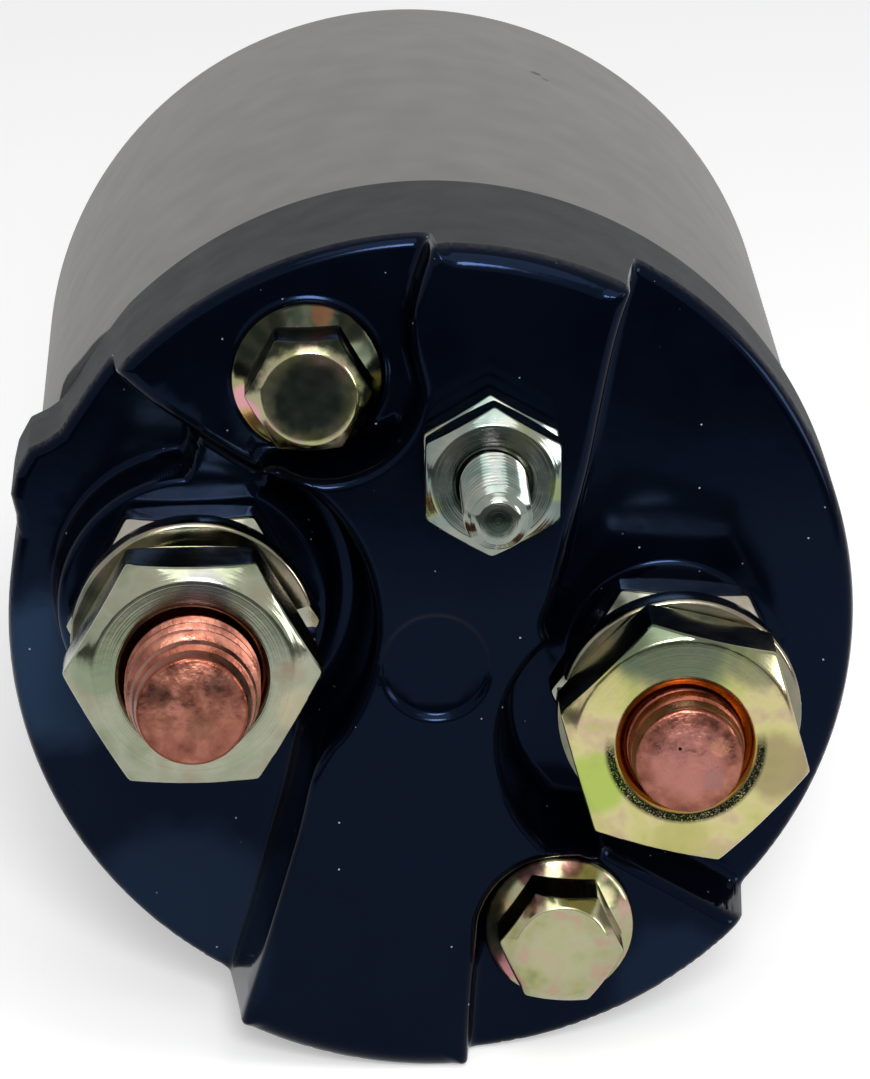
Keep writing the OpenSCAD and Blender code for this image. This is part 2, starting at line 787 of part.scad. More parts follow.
module nut_at(x, z, from, angle, af, h, bore_r, double = true) {
    color("darkkhaki") in_frame() translate([x, z, from]) rotate([0, 0, angle])
        hex_nut(af, h, bore_r, double);
}

module battery_jam_nut() {
    nut_at(battery_x, battery_z, pad_face, 0, nut_af, jam_nut_t, nut_bore_r);
}

module motor_jam_nut() {
    nut_at(motor_x, motor_z, pad_face, -5, nut_af, jam_nut_t, nut_bore_r);
}

module battery_top_nut() {
    nut_at(battery_x, battery_z, pad_face + jam_nut_t + left_washer_h, -1, nut_af, top_nut_t,
           nut_bore_r);
}

module motor_top_nut() {
    nut_at(motor_x, motor_z, pad_face + jam_nut_t + right_washer_h, 44.5, nut_af, top_nut_t,
           nut_bore_r);
}

module switch_jam_nut() {
    nut_at(switch_x, switch_z, cap_front, 30, switch_nut_af, switch_nut_t, switch_bore_r);
}

module switch_top_nut() {
    nut_at(switch_x, switch_z, cap_front + switch_nut_t, 30, switch_nut_af, switch_nut_t,
           switch_bore_r);
}

// Split spring washer: a square wire that climbs once round the stud
module lock_washer(height, split_angle) {
    steps = 40;
    gap_angle = 5;
    inner_r = stud_r + 0.05 * stud_r;
    climb = height - washer_t;
    points = [
        for (i = [0 : steps])
            let (a = split_angle + gap_angle + (360 - 2 * gap_angle) * i / steps, low = climb * i / steps)
                each [
                    [inner_r * cos(a), inner_r * sin(a), low],
                    [washer_r * cos(a), washer_r * sin(a), low],
                    [washer_r * cos(a), washer_r * sin(a), low + washer_t],
                    [inner_r * cos(a), inner_r * sin(a), low + washer_t],
                ]
    ];
    walls = [
        for (i = [0 : steps - 1], k = [0 : 3])
            let (a = 4 * i + k, b = 4 * i + (k + 1) % 4, c = a + 4, d = b + 4)
                each [[a, c, b], [b, c, d]]
    ];
    last = 4 * steps;
    polyhedron(points = points, faces = concat(walls, [
        [0, 1, 2], [0, 2, 3], [last, last + 2, last + 1], [last, last + 3, last + 2],
    ]), convexity = 4);
}

module battery_lock_washer() {
    color("khaki") in_frame() translate([battery_x, battery_z, pad_face + jam_nut_t])
        lock_washer(left_washer_h, 10);
}

module motor_lock_washer() {
    color("khaki") in_frame() translate([motor_x, motor_z, pad_face + jam_nut_t])
        lock_washer(right_washer_h, 165);
}

module cap_screws() {
    corner_r = screw_af / 2 * corner_share;
    face_r = screw_af / 2 * nut_face_share;
    chamfer = screw_af * nut_chamfer_share;
    top = ledge_face + screw_flange_t + screw_hex_h;
    color("darkkhaki") in_frame() for (half = [0, 1])
        at_angle(screw_circle_r, screw_angle + half * 180) rotate([0, 0, half * lower_screw_turn]) union() {
            slab(screw_r, core_plate_rear, ledge_face + screw_flange_t);
            slab(screw_flange_r, ledge_face, ledge_face + screw_flange_t);
            translate([0, 0, ledge_face]) intersection() {
                cylinder(h = screw_flange_t + screw_hex_h, r = corner_r, $fn = 6);
                union() {
                    cylinder(h = screw_flange_t + screw_hex_h - chamfer, r = corner_r + overrun);
                    translate([0, 0, screw_flange_t + screw_hex_h - chamfer])
                        cylinder(h = chamfer, r1 = corner_r, r2 = face_r);
                }
            }
        }
    echo("front of the screw heads, mm from the mounting face", top);
}

can_shell();
mounting_plate();
core_plate();
fixed_core();
guide_tube();
bobbin();
pull_in_winding();
winding_insulation();
hold_in_winding();
winding_wrap();
plunger();
spring_retainer();
retainer_ring();
plunger_return_spring();
contact_rod();
contact_disc();
front_insulator();
rear_insulator();
contact_pressure_spring();
contact_return_spring();
rod_clip();
terminal_cap();
cap_gasket();
battery_stud();
motor_stud();
switch_stud();
switch_link();
stud_seals();
battery_jam_nut();
motor_jam_nut();
switch_jam_nut();
battery_lock_washer();
motor_lock_washer();
battery_top_nut();
motor_top_nut();
switch_top_nut();
cap_screws();
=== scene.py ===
"""Starter solenoid relay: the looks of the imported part, in the part's own frame.

The can's axis lies along Y: the terminal cap faces -Y, and the plunger stands out along +Y. +Z is
up. Sizes are in millimetres until a mesh is made. "Depth" counts from the cap's front plane towards
the can, and "height" from the mounting face towards the terminals. Places are (x, z) in the cap's
plane.
"""

import logging
import math
from collections.abc import Iterator
from contextlib import contextmanager
from dataclasses import dataclass
from enum import Enum

import bmesh
import bpy
import numpy as np
from mathutils import Matrix, Vector, geometry


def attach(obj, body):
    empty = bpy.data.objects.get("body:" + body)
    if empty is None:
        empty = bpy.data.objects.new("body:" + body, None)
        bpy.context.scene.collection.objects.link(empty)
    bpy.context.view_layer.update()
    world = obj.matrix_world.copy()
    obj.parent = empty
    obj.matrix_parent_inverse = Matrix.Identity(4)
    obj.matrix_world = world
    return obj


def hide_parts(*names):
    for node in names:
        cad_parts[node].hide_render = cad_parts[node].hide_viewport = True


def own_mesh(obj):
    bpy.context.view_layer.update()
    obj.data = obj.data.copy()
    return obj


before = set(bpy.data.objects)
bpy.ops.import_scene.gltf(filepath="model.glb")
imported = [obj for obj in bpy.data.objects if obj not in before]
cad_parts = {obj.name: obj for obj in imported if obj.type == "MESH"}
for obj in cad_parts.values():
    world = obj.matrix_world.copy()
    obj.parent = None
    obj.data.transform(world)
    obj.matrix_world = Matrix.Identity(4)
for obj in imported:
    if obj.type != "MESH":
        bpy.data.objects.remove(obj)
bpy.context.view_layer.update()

MM = 0.001
# Heights of the cap's front plane and of its back
FRONT = 85.0
REAR = 64.7
# Turns (x, z, height) into the part's frame
TO_FRAME = Matrix(((1, 0, 0, 0), (0, 0, -1, 0), (0, 1, 0, 0), (0, 0, 0, 1)))

Tree = bpy.types.NodeTree
Object = bpy.types.Object
# A node stands for its first output, a (node, output) pair for that output
Source = bpy.types.Node | tuple
Pair = tuple[float, float]
Shades = tuple[tuple[float, str], ...]

log = logging.getLogger("solenoid")


class Body(Enum):
    """The bodies that a piece can ride on."""

    CAN = "root"
    PLUNGER = "plunger_group"
    CONTACT = "contact_group"


# Nodes and colours


def linear(code: str) -> tuple[float, float, float, float]:
    """Turns an sRGB hex colour with a leading # into linear red, green, blue and an alpha of 1."""
    parts = [int(code[i : i + 2], 16) / 255 for i in (1, 3, 5)]
    red, green, blue = [c / 12.92 if c <= 0.04045 else ((c + 0.055) / 1.055) ** 2.4 for c in parts]
    return red, green, blue, 1.0


def stops(codes: str, places: tuple[float, ...] = (0.3, 0.7)) -> Shades:
    """Pairs hex colours, written without their #, with their places on a ramp."""
    return tuple((place, f"#{code}") for place, code in zip(places, codes.split()))


def add_node(tree: Tree, kind: str, inputs: dict | None = None, **settings) -> bpy.types.Node:
    """Adds one node with its settings, values and links.

    Args:
        tree: the tree that gets the node.
        kind: the node's type name.
        inputs: a value or a source for each input's name or index.
        settings: the node's own properties.

    Returns:
        The new node.
    """
    node = tree.nodes.new(kind)
    for key, value in settings.items():
        setattr(node, key, value)
    for key, value in (inputs or {}).items():
        if isinstance(value, bpy.types.Node):
            value = (value, 0)
        if isinstance(value, tuple) and isinstance(value[0], bpy.types.Node):
            tree.links.new(value[0].outputs[value[1]], node.inputs[key])
        else:
            node.inputs[key].default_value = value
    return node


def empty_tree(owner: bpy.types.Material | bpy.types.World) -> Tree:
    """The node tree of a material or a world, with nothing in it yet."""
    owner.use_nodes = True
    owner.node_tree.nodes.clear()
    return owner.node_tree


def ramp(tree: Tree, factor: Source, shades: Shades) -> Source:
    """Adds a colour ramp with its stops."""
    node = add_node(tree, "ShaderNodeValToRGB", {"Fac": factor})
    marks = node.color_ramp.elements
    while len(marks) < len(shades):
        marks.new(0.5)
    for mark, (place, code) in zip(marks, shades):
        mark.position, mark.color = place, linear(code)
    return node


@dataclass(frozen=True)
class Finish:
    """A surface: how it reflects, and the patterns on it.

    Attributes:
        name: the real material or process.
        colours: the colour over a noise of patch_mm.
        roughness: the range it keeps to.
        grain_mm: width of the fine relief, grain_height_mm its height.
        patches: x, z, radius, colour and share of soft spots that run through along the axis.
        marks: x, y, z, radius and colour of small spots in one place.
        specks: share of the dust cells that hold a speck.
    """

    name: str
    colours: Shades
    patch_mm: float = 4.0
    metallic: float = 0.0
    roughness: Pair = (0.4, 0.5)
    grain_mm: float = 0.3
    grain_height_mm: float = 0.004
    ior: float | None = None
    specular: float | None = None
    tint: str | None = None
    patches: tuple[tuple[float, float, float, str, float], ...] = ()
    marks: tuple[tuple[float, float, float, float, str], ...] = ()
    specks: float = 0.0
    speck_cell_mm: float = 1.5

    def noise(self, tree: Tree, size_mm: float, detail: float, where: Source) -> Source:
        """A noise whose features are about size_mm wide, with detail octaves of finer noise."""
        inputs = {"Vector": where, "Scale": 1 / (size_mm * MM), "Detail": detail, "Roughness": 0.55}
        return add_node(tree, "ShaderNodeTexNoise", inputs)

    def distance(
        self, tree: Tree, where: Source, place: tuple, counts: tuple = (1.0, 0.0, 1.0)
    ) -> Source:
        """Distance in metres from a place in millimetres, along the directions that count."""
        place = tuple(v * MM for v in place)
        moved = add_node(tree, "ShaderNodeVectorMath", {0: where, 1: place}, operation="SUBTRACT")
        flat = add_node(tree, "ShaderNodeVectorMath", {0: moved, 1: counts}, operation="MULTIPLY")
        return add_node(tree, "ShaderNodeVectorMath", {0: flat}, operation="LENGTH"), "Value"

    def spot(self, tree: Tree, where: Source, away: Source, radius: float, share: float) -> Source:
        """Cover of a soft uneven spot.

        Args:
            tree: the material's tree.
            where: the coordinates.
            away: the distance from the spot's middle.
            radius: its radius.
            share: how much of it covers, from 0 to 1.

        Returns:
            The cover, from 0 to the share.
        """
        inputs = {0: self.noise(tree, radius * 0.6, 2, where), 1: 0.5 * radius * MM, 2: away}
        uneven = add_node(tree, "ShaderNodeMath", inputs, operation="MULTIPLY_ADD")
        inputs = {"Value": uneven, 1: radius * MM, 2: 1.5 * radius * MM, 3: share, 4: 0.0}
        return add_node(tree, "ShaderNodeMapRange", inputs, interpolation_type="SMOOTHSTEP")

    def blend_in(self, tree: Tree, under: Source, cover: Source, over: Source | str) -> Source:
        """Lays a hex colour or another source over one where it covers."""
        over = linear(over) if isinstance(over, str) else over
        inputs = {"Factor": cover, 6: under, 7: over}
        return add_node(tree, "ShaderNodeMix", inputs, data_type="RGBA"), 2

    def colour(self, tree: Tree, where: Source) -> Source:
        """The colour of the surface with its patches, marks and specks."""
        shade = ramp(tree, self.noise(tree, self.patch_mm, 3, where), self.colours)
        for x, z, radius, code, share in self.patches:
            away = self.distance(tree, where, (x, 0.0, z))
            shade = self.blend_in(tree, shade, self.spot(tree, where, away, radius, share), code)
        for *place, radius, code in self.marks:
            away = self.distance(tree, where, tuple(place), (1.0, 1.0, 1.0))
            shade = self.blend_in(tree, shade, self.spot(tree, where, away, radius, 0.8), code)
        if self.specks:
            inputs = {"Vector": where, "Scale": 1 / (self.speck_cell_mm * MM)}
            cells = add_node(tree, "ShaderNodeTexVoronoi", inputs, feature="F1")
            inputs = {"Value": cells, 1: 0.03, 2: 0.06, 3: 1.0, 4: 0.0}
            dust = add_node(tree, "ShaderNodeMapRange", inputs)
            draw = add_node(tree, "ShaderNodeSeparateColor", {"Color": (cells, "Color")})
            inputs = {0: draw, 1: self.specks}
            some = add_node(tree, "ShaderNodeMath", inputs, operation="LESS_THAN")
            both = add_node(tree, "ShaderNodeMath", {0: dust, 1: some}, operation="MULTIPLY")
            shade = self.blend_in(tree, shade, both, "#848E9A")
        return shade

    def rough(self, tree: Tree, where: Source) -> Source:
        """The roughness of the surface."""
        low, high = self.roughness
        uneven = self.noise(tree, self.patch_mm / 2, 4, where)
        inputs = {"Value": uneven, 1: 0.3, 2: 0.7, 3: low, 4: high}
        return add_node(tree, "ShaderNodeMapRange", inputs)

    def bump(self, tree: Tree, where: Source) -> Source:
        """The relief of the surface."""
        height = self.noise(tree, self.grain_mm, 2, where)
        inputs = {"Height": height, "Strength": 1.0, "Distance": self.grain_height_mm * MM}
        return add_node(tree, "ShaderNodeBump", inputs)

    def make(self) -> bpy.types.Material:
        """Builds the material, or returns it if it is there already."""
        known = bpy.data.materials.get(self.name)
        if known:
            return known
        material = bpy.data.materials.new(self.name)
        tree = empty_tree(material)
        where = add_node(tree, "ShaderNodeTexCoord"), "Object"
        inputs = {
            "Base Color": self.colour(tree, where),
            "Metallic": self.metallic,
            "Roughness": self.rough(tree, where),
            "Normal": self.bump(tree, where),
        }
        if self.ior is not None:
            inputs["IOR"] = self.ior
        if self.specular is not None:
            inputs["Specular IOR Level"] = self.specular
        if self.tint is not None:
            inputs["Specular Tint"] = linear(self.tint)
        shader = add_node(tree, "ShaderNodeBsdfPrincipled", inputs)
        add_node(tree, "ShaderNodeOutputMaterial", {"Surface": shader})
        return material


@dataclass(frozen=True)
class TurnedFinish(Finish):
    """A finish with fine turning rings round one stud's axis.

    Attributes:
        centre: place of the axis.
        ring_mm: width of a ring, ring_height_mm its height.
        bore_ring: colours from bore_from to bore_to, two distances from the axis.
        stain: inner and outer radius, half angle and colour of a dark grainy arc below the bore.
        root: lowest and highest radius and colour of the painted shade in the thread's roots.
    """

    centre: Pair = (0.0, 0.0)
    ring_mm: float = 0.3
    ring_height_mm: float = 0.012
    bore_ring: Shades = ()
    bore_from: float = 4.6
    bore_to: float = 6.4
    stain: tuple[float, float, float, str] | None = None
    root: tuple[float, float, str] | None = None

    def radius(self, tree: Tree, where: Source) -> Source:
        """Distance from the stud's axis in metres."""
        return self.distance(tree, where, (self.centre[0], 0.0, self.centre[1]))

    def bump(self, tree: Tree, where: Source) -> Source:
        """Turning rings over the plain grain."""
        inputs = {0: self.radius(tree, where), 1: 1 / (self.ring_mm * MM)}
        turns = add_node(tree, "ShaderNodeMath", inputs, operation="MULTIPLY")
        inputs = {"W": turns, "Scale": 1.0, "Detail": 2.0, "Roughness": 0.6}
        wave = add_node(tree, "ShaderNodeTexNoise", inputs, noise_dimensions="1D")
        inputs = {"Height": wave, "Strength": 1.0, "Distance": self.ring_height_mm * MM}
        return add_node(tree, "ShaderNodeBump", {**inputs, "Normal": super().bump(tree, where)})

    def colour(self, tree: Tree, where: Source) -> Source:
        """The plain colour with the painted shade in the roots, the dark arc and the ring at the bore
        over it.
        """
        shade = super().colour(tree, where)
        if not (self.root or self.stain or self.bore_ring):
            return shade
        away = self.radius(tree, where)
        # Painted shade: darker towards the roots of the thread
        if self.root:
            low, high, code = self.root
            inputs = {"Value": away, 1: low * MM, 2: high * MM, 3: 0.85, 4: 0.0}
            deep = add_node(tree, "ShaderNodeMapRange", inputs)
            inputs = {0: away, 1: (low - 0.15) * MM}
            outside = add_node(tree, "ShaderNodeMath", inputs, operation="GREATER_THAN")
            both = add_node(tree, "ShaderNodeMath", {0: deep, 1: outside}, operation="MULTIPLY")
            shade = self.blend_in(tree, shade, both, code)
        if self.stain:
            shade = self.blend_in(tree, shade, self.arc_stain(tree, where, away), self.stain[-1])
        if self.bore_ring:
            inputs = {"Value": away, 1: self.bore_from * MM, 2: self.bore_to * MM}
            place = add_node(tree, "ShaderNodeMapRange", inputs)
            inputs = {"Value": place, 1: 0.62, 2: 0.8, 3: 1.0, 4: 0.0}
            share = add_node(tree, "ShaderNodeMapRange", inputs, interpolation_type="SMOOTHSTEP")
            shade = self.blend_in(tree, shade, share, ramp(tree, place, self.bore_ring))
        return shade

    def arc_stain(self, tree: Tree, where: Source, away: Source) -> Source:
        """Cover of a dark grainy arc below the bore."""
        inner, outer, half, _ = self.stain
        centre = (self.centre[0] * MM, 0.0, self.centre[1] * MM)
        moved = add_node(tree, "ShaderNodeVectorMath", {0: where, 1: centre}, operation="SUBTRACT")
        inputs = {0: moved, 1: (0.0, 0.0, -1.0)}
        down = add_node(tree, "ShaderNodeVectorMath", inputs, operation="DOT_PRODUCT")
        turn = add_node(tree, "ShaderNodeMath", {0: (down, "Value"), 1: away}, operation="DIVIDE")
        below = math.cos(math.radians(half))
        cover = None
        for inputs in (
            {"Value": away, 1: inner * MM, 2: (inner + 0.15) * MM},
            {"Value": away, 1: (outer - 0.3) * MM, 2: outer * MM, 3: 1.0, 4: 0.0},
            {"Value": turn, 1: below - 0.1, 2: below + 0.15},
            {"Value": self.noise(tree, 0.09, 2, where), 1: 0.22, 2: 0.46},
        ):
            part = add_node(tree, "ShaderNodeMapRange", inputs)
            if cover is not None:
                part = add_node(tree, "ShaderNodeMath", {0: cover, 1: part}, operation="MULTIPLY")
            cover = part
        return cover


# Hex nuts, lock washers, screws and the switch stud: steel with zinc plating and yellow chromate,
# an olive to gold metal with green and pink patches. The jam nuts and washers are paler and duller
SIX_PLACES = (0.30, 0.42, 0.52, 0.60, 0.68, 0.78)
FOUR_PLACES = (0.30, 0.45, 0.60, 0.75)
CHROMATE = stops("6B7462 838871 8F9280 8B8A76 8D8070 7A8570", SIX_PLACES)
GOLD_CHROMATE = stops("8B9358 ABA76C B5AC7C AF9C7E A3A468 87946A", SIX_PLACES)
SCREW_CHROMATE = stops("7E8558 94926A 98977A A08C76 A68C7C 8C8450", SIX_PLACES)
SILVER_CHROMATE = stops("5C6A64 727E78 8A8C82 7C8662", FOUR_PLACES)
DARK_CHROMATE = stops("565A4E 6E6F60 827868 64685A", FOUR_PLACES)
STEEL_CHROMATE = stops("74776C 97988A A59A94 8C8F66", (0.30, 0.48, 0.60, 0.75))
# Colours at a nut's bore: copper shining back from the stud's thread
AMBER_BORE = stops("8A4C12 B0701E A87830", (0.0, 0.3, 0.6))
BROWN_BORE = stops("40180E 5A2A1A 6E5A44", (0.0, 0.4, 0.7))


def chromate(name: str, centre: Pair, colours: Shades = CHROMATE, **more) -> TurnedFinish:
    """Yellow chromated zinc plate with turning rings round one axis."""
    usual = {"metallic": 1.0, "roughness": (0.1, 0.19), "grain_mm": 0.6}
    return TurnedFinish(f"yellow zinc, {name}", colours, centre=centre, **{**usual, **more})


# Terminal cap, front: compression-moulded phenolic, a deep blue-black gloss with fine dust on it
PHENOLIC = Finish(
    "moulded phenolic", stops("010206 02040A", (0.35, 0.65)), patch_mm=9.0, roughness=(0.1, 0.16),
    grain_mm=1.2, ior=1.4, specular=0.2, tint="#8FB4FF", specks=0.5,
    # The three patches are painted reflections: a soft lighter blue glow on the left floor, low on
    # the left floor and on the lower ledge
    patches=((-27.5, -3.0, 5.5, "#1C2A3C", 0.9), (-19.0, -21.0, 6.0, "#121C2A", 0.8),
             (17.0, -26.0, 4.5, "#0E1826", 0.7)),
)
# Terminal cap, side: the same moulding as the etched side of the mould leaves it, dull and greyer
ETCHED_PHENOLIC = Finish(
    "etched phenolic side", stops("26282A 2E3031"), patch_mm=6.0, roughness=(0.5, 0.6),
    grain_mm=0.25, grain_height_mm=0.008, ior=1.4, specular=0.1,
)
# Can: drawn steel, zinc plated and dull, with soft mottling from the plating bath and a small chip
ZINC_CAN = Finish(
    "zinc plated drawn steel", stops("6F6E6C 747371 797876", (0.3, 0.5, 0.72)), patch_mm=3.5,
    metallic=1.0, roughness=(0.5, 0.58), grain_mm=0.4, grain_height_mm=0.006, specks=0.03,
    marks=((10.6, -17.5, 28.0, 0.45, "#3A3836"), (11.3, -18.6, 27.7, 0.3, "#454340")),
)
# Heavy studs and the contact disc: cold-headed copper, pink with darker rubbed patches
COPPER_SHADES = stops("663C32 845346 A26C5A", (0.3, 0.5, 0.7))
COPPER = Finish(
    "cold-headed copper", COPPER_SHADES, patch_mm=1.6, metallic=1.0, roughness=(0.25, 0.42),
    grain_mm=0.5, grain_height_mm=0.02,
)
# Plunger and contact rod: turned low-carbon steel with bright plating
TURNED_STEEL = Finish(
    "turned and plated steel", stops("A9A9A6 C4C4C0"), patch_mm=3.0, metallic=1.0,
    roughness=(0.24, 0.36),
)
# Plates and core: low-carbon steel under a thin grey zinc
MAGNET_STEEL = Finish(
    "zinc plated magnet steel", stops("8D8C88 A9A8A3"), patch_mm=5.0, metallic=1.0,
    roughness=(0.36, 0.5),
)
# Springs, clips and rings: hard-drawn carbon steel wire, oiled grey
SPRING_WIRE = Finish(
    "drawn spring wire", stops("7A7B7C 9C9D9D"), patch_mm=2.0, metallic=1.0, roughness=(0.25, 0.35)
)
# Guide tube and switch link: drawn brass
BRASS = Finish("drawn brass", stops("B48F4B CDA965"), metallic=1.0, roughness=(0.25, 0.38))
# Gasket and seals: moulded black rubber, dull
RUBBER = Finish("moulded black rubber", stops("121212 1B1B1B"), roughness=(0.55, 0.7), grain_mm=0.2)
# Bobbin: natural nylon, milky and slightly yellow
NYLON = Finish("moulded natural nylon", stops("D9D0B8 E6DFCB"), roughness=(0.35, 0.45))
# Windings: enamelled copper wire, wound side by side. Its relief is drawn coarser than the wire
ENAMEL = Finish(
    "enamelled copper wire", stops("7E3F1E A05A2D"), roughness=(0.2, 0.3), grain_mm=0.9,
    grain_height_mm=0.1,
)
# Layers and tape round the windings: pressed insulating paper, matte
PAPER = Finish(
    "pressed insulating paper", stops("B59E6E C9B484"), roughness=(0.7, 0.85), grain_height_mm=0.01
)
# Insulators of the contact disc: red vulcanised fibre, dull
FIBRE = Finish("vulcanised fibre", stops("6B2B1C 833A28"), roughness=(0.5, 0.6))

KEPT_NODES = {
    "core_plate": MAGNET_STEEL,
    "fixed_core": MAGNET_STEEL,
    "guide_tube": BRASS,
    "bobbin": NYLON,
    "pull_in_winding": ENAMEL,
    "winding_insulation": PAPER,
    "hold_in_winding": ENAMEL,
    "winding_wrap": PAPER,
    "spring_retainer": MAGNET_STEEL,
    "retainer_ring": SPRING_WIRE,
    "contact_rod": TURNED_STEEL,
    "contact_disc": COPPER,
    "front_insulator": FIBRE,
    "rear_insulator": FIBRE,
    "rod_clip": SPRING_WIRE,
    "switch_link": BRASS,
}


# Meshes


def new_object(
    name: str,
    points: np.ndarray | list,
    faces: list,
    finish: Finish | None = None,
    edges: list | None = None,
) -> Object:
    """Makes an object from points in millimetres.

    Args:
        name: the piece's name.
        points: one row of x, y and z a point.
        faces: lists of point numbers.
        finish: the finish, or None for a shape that only cuts or is copied.
        edges: pairs of point numbers, for a path.

    Returns:
        The new object.
    """
    mesh = bpy.data.meshes.new(name)
    mesh.from_pydata((np.asarray(points, float) * MM).tolist(), edges or [], faces)
    mesh.update()
    obj = bpy.data.objects.new(name, mesh)
    bpy.context.scene.collection.objects.link(obj)
    if finish is not None:
        mesh.materials.append(finish.make())
    return obj


@contextmanager
def editing(obj: Object) -> Iterator[bmesh.types.BMesh]:
    """Opens a piece's mesh for editing and writes it back afterwards."""
    work = bmesh.new()
    work.from_mesh(obj.data)
    yield work
    work.to_mesh(obj.data)
    work.free()


def shade_smooth(obj: Object, smooth_angle: float) -> None:
    """Shades a piece smooth, apart from edges where faces meet at more degrees than this."""
    obj.data.shade_smooth()
    obj.data.set_sharp_from_angle(angle=math.radians(smooth_angle))


def close_up(obj: Object, smooth_angle: float = 32.0, merge_mm: float = 0.002) -> None:
    """Merges doubled points, turns all faces outwards and sets which edges stay sharp.

    Args:
        obj: the piece.
        smooth_angle: faces that meet at more degrees than this keep a sharp edge.
        merge_mm: points closer than this become one.
    """
    with editing(obj) as work:
        bmesh.ops.remove_doubles(work, verts=work.verts, dist=merge_mm * MM)
        bmesh.ops.dissolve_degenerate(work, dist=merge_mm * MM / 2, edges=work.edges)
        bmesh.ops.recalc_face_normals(work, faces=work.faces)
    shade_smooth(obj, smooth_angle)


def turn_about(centre: Pair, r: np.ndarray | float, angles: np.ndarray) -> tuple:
    """x and z of points at a distance from a centre, at angles in radians."""
    return centre[0] + r * np.cos(angles), centre[1] + r * np.sin(angles)


def lathe(
    name: str, section: list, angles: np.ndarray, finish: Finish | None, centre: Pair = (0, 0)
) -> Object:
    """A closed piece from its section, which may differ at each angle.

    Args:
        name: the piece's name.
        section: (radius, height) pairs round the section, each a number or one number an angle.
        angles: in radians, once round.
        finish: the finish, or None for a shape that only cuts or is copied.
        centre: place of the axis.

    Returns:
        The new object.
    """
    rows = []
    for r, h in section:
        x, z = turn_about(centre, r, angles)
        rows.append(np.column_stack(np.broadcast_arrays(x, -h, z)))
    count, n = len(rows), len(angles)
    corners = ((0, 0), (0, 1), (1, 1), (1, 0))
    faces = [
        tuple((i + up) % count * n + (k + on) % n for up, on in corners)
        for i in range(count)
        for k in range(n)
    ]
    return new_object(name, np.vstack(rows), faces, finish)


def turned(
    name: str,
    profile: list[Pair],
    finish: Finish | None = None,
    centre: Pair = (0, 0),
    segments: int = 128,
) -> Object:
    """A round piece from its (radius, height) profile, which closes on itself or on the axis."""
    obj = lathe(name, profile, np.linspace(0, math.tau, segments, endpoint=False), finish, centre)
    close_up(obj)
    return obj


def rounded(corners: list[tuple[float, float, float]], steps: int = 4) -> list[Pair]:
    """Rounds the corners of a closed section.

    Args:
        corners: (radius, height, rounding) of each corner in order.
        steps: points that each rounding gets besides its first.

    Returns:
        The section's points.
    """
    points = []
    for i, (r, a, size) in enumerate(corners):
        here = np.array((r, a))
        if size <= 0:
            points.append((r, a))
            continue
        before = np.array(corners[i - 1][:2]) - here
        after = np.array(corners[(i + 1) % len(corners)][:2]) - here
        start = here + before / np.linalg.norm(before) * size
        end = here + after / np.linalg.norm(after) * size
        for t in np.linspace(0, 1, steps + 1):
            points.append(tuple((1 - t) ** 2 * start + 2 * t * (1 - t) * here + t**2 * end))
    return points


def block(name: str, near: tuple[float, float, float], far: tuple[float, float, float]) -> Object:
    """A box between two corners in the part's frame, for cutting or joining."""
    ring = ((near[0], near[2]), (far[0], near[2]), (far[0], far[2]), (near[0], far[2]))
    points = [(x, y, z) for y in (near[1], far[1]) for x, z in ring]
    sides = [(0, 1, 2, 3), (7, 6, 5, 4), (0, 4, 5, 1), (1, 5, 6, 2), (2, 6, 7, 3), (3, 7, 4, 0)]
    if far[1] > near[1]:
        sides = [side[::-1] for side in sides]
    return new_object(name, points, sides)


def bake(obj: Object) -> None:
    """Turns a piece and its modifiers into a plain mesh."""
    graph = bpy.context.evaluated_depsgraph_get()
    graph.update()
    mesh = bpy.data.meshes.new_from_object(obj.evaluated_get(graph))
    obj.modifiers.clear()
    obj.data = mesh


def cut(obj: Object, tool: Object, how: str = "DIFFERENCE", solver: str = "MANIFOLD") -> None:
    """Cuts or joins a piece with another shape, which is then removed.

    Args:
        obj: the piece.
        tool: the shape that cuts or joins.
        how: DIFFERENCE or UNION.
        solver: MANIFOLD, or EXACT where flat faces have to stay whole.
    """
    change = obj.modifiers.new("cut", "BOOLEAN")
    change.object, change.operation, change.solver = tool, how, solver
    bake(obj)
    bpy.data.objects.remove(tool)


def bevel(obj: Object, width: float, segments: int) -> None:
    """Rounds a piece's sharp edges."""
    change = obj.modifiers.new("edges", "BEVEL")
    change.width, change.segments, change.limit_method = width * MM, segments, "ANGLE"
    change.angle_limit = math.radians(50)
    bake(obj)


def finish_piece(obj: Object, body: Body, node: str) -> None:
    """Hides the CAD node that a piece stands for and sets the piece on its body."""
    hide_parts(node)
    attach(obj, body.value)
    log.info("%s: %d faces, for %s", obj.name, len(obj.data.polygons), node)


# Terminal cap


def smooth_path(points: list[Pair], step: float) -> np.ndarray:
    """A smooth path through points, with a point at every step, one a row."""
    p = np.array([points[0], *points, points[-1]], float)
    fine = []
    for a, b, c, d in zip(p, p[1:], p[2:], p[3:]):
        t = np.linspace(0, 1, 40, endpoint=False)[:, None]
        bend = (2 * a - 5 * b + 4 * c - d) * t**2 + (3 * b - a - 3 * c + d) * t**3
        fine.append(0.5 * (2 * b + (c - a) * t + bend))
    fine = np.vstack([*fine, p[-1:]])
    along = np.concatenate(([0], np.cumsum(np.linalg.norm(np.diff(fine, axis=0), axis=1))))
    places = np.linspace(0, along[-1], max(2, round(along[-1] / step) + 1))
    return np.column_stack([np.interp(places, along, fine[:, k]) for k in (0, 1)])


def arc(x: float, z: float, r: float, start: float, end: float, count: int) -> list[Pair]:
    """Points on an arc round (x, z), between two angles in degrees."""
    turns = np.radians(np.linspace(start, end, count))
    return [(x + r * math.cos(a), z + r * math.sin(a)) for a in turns]


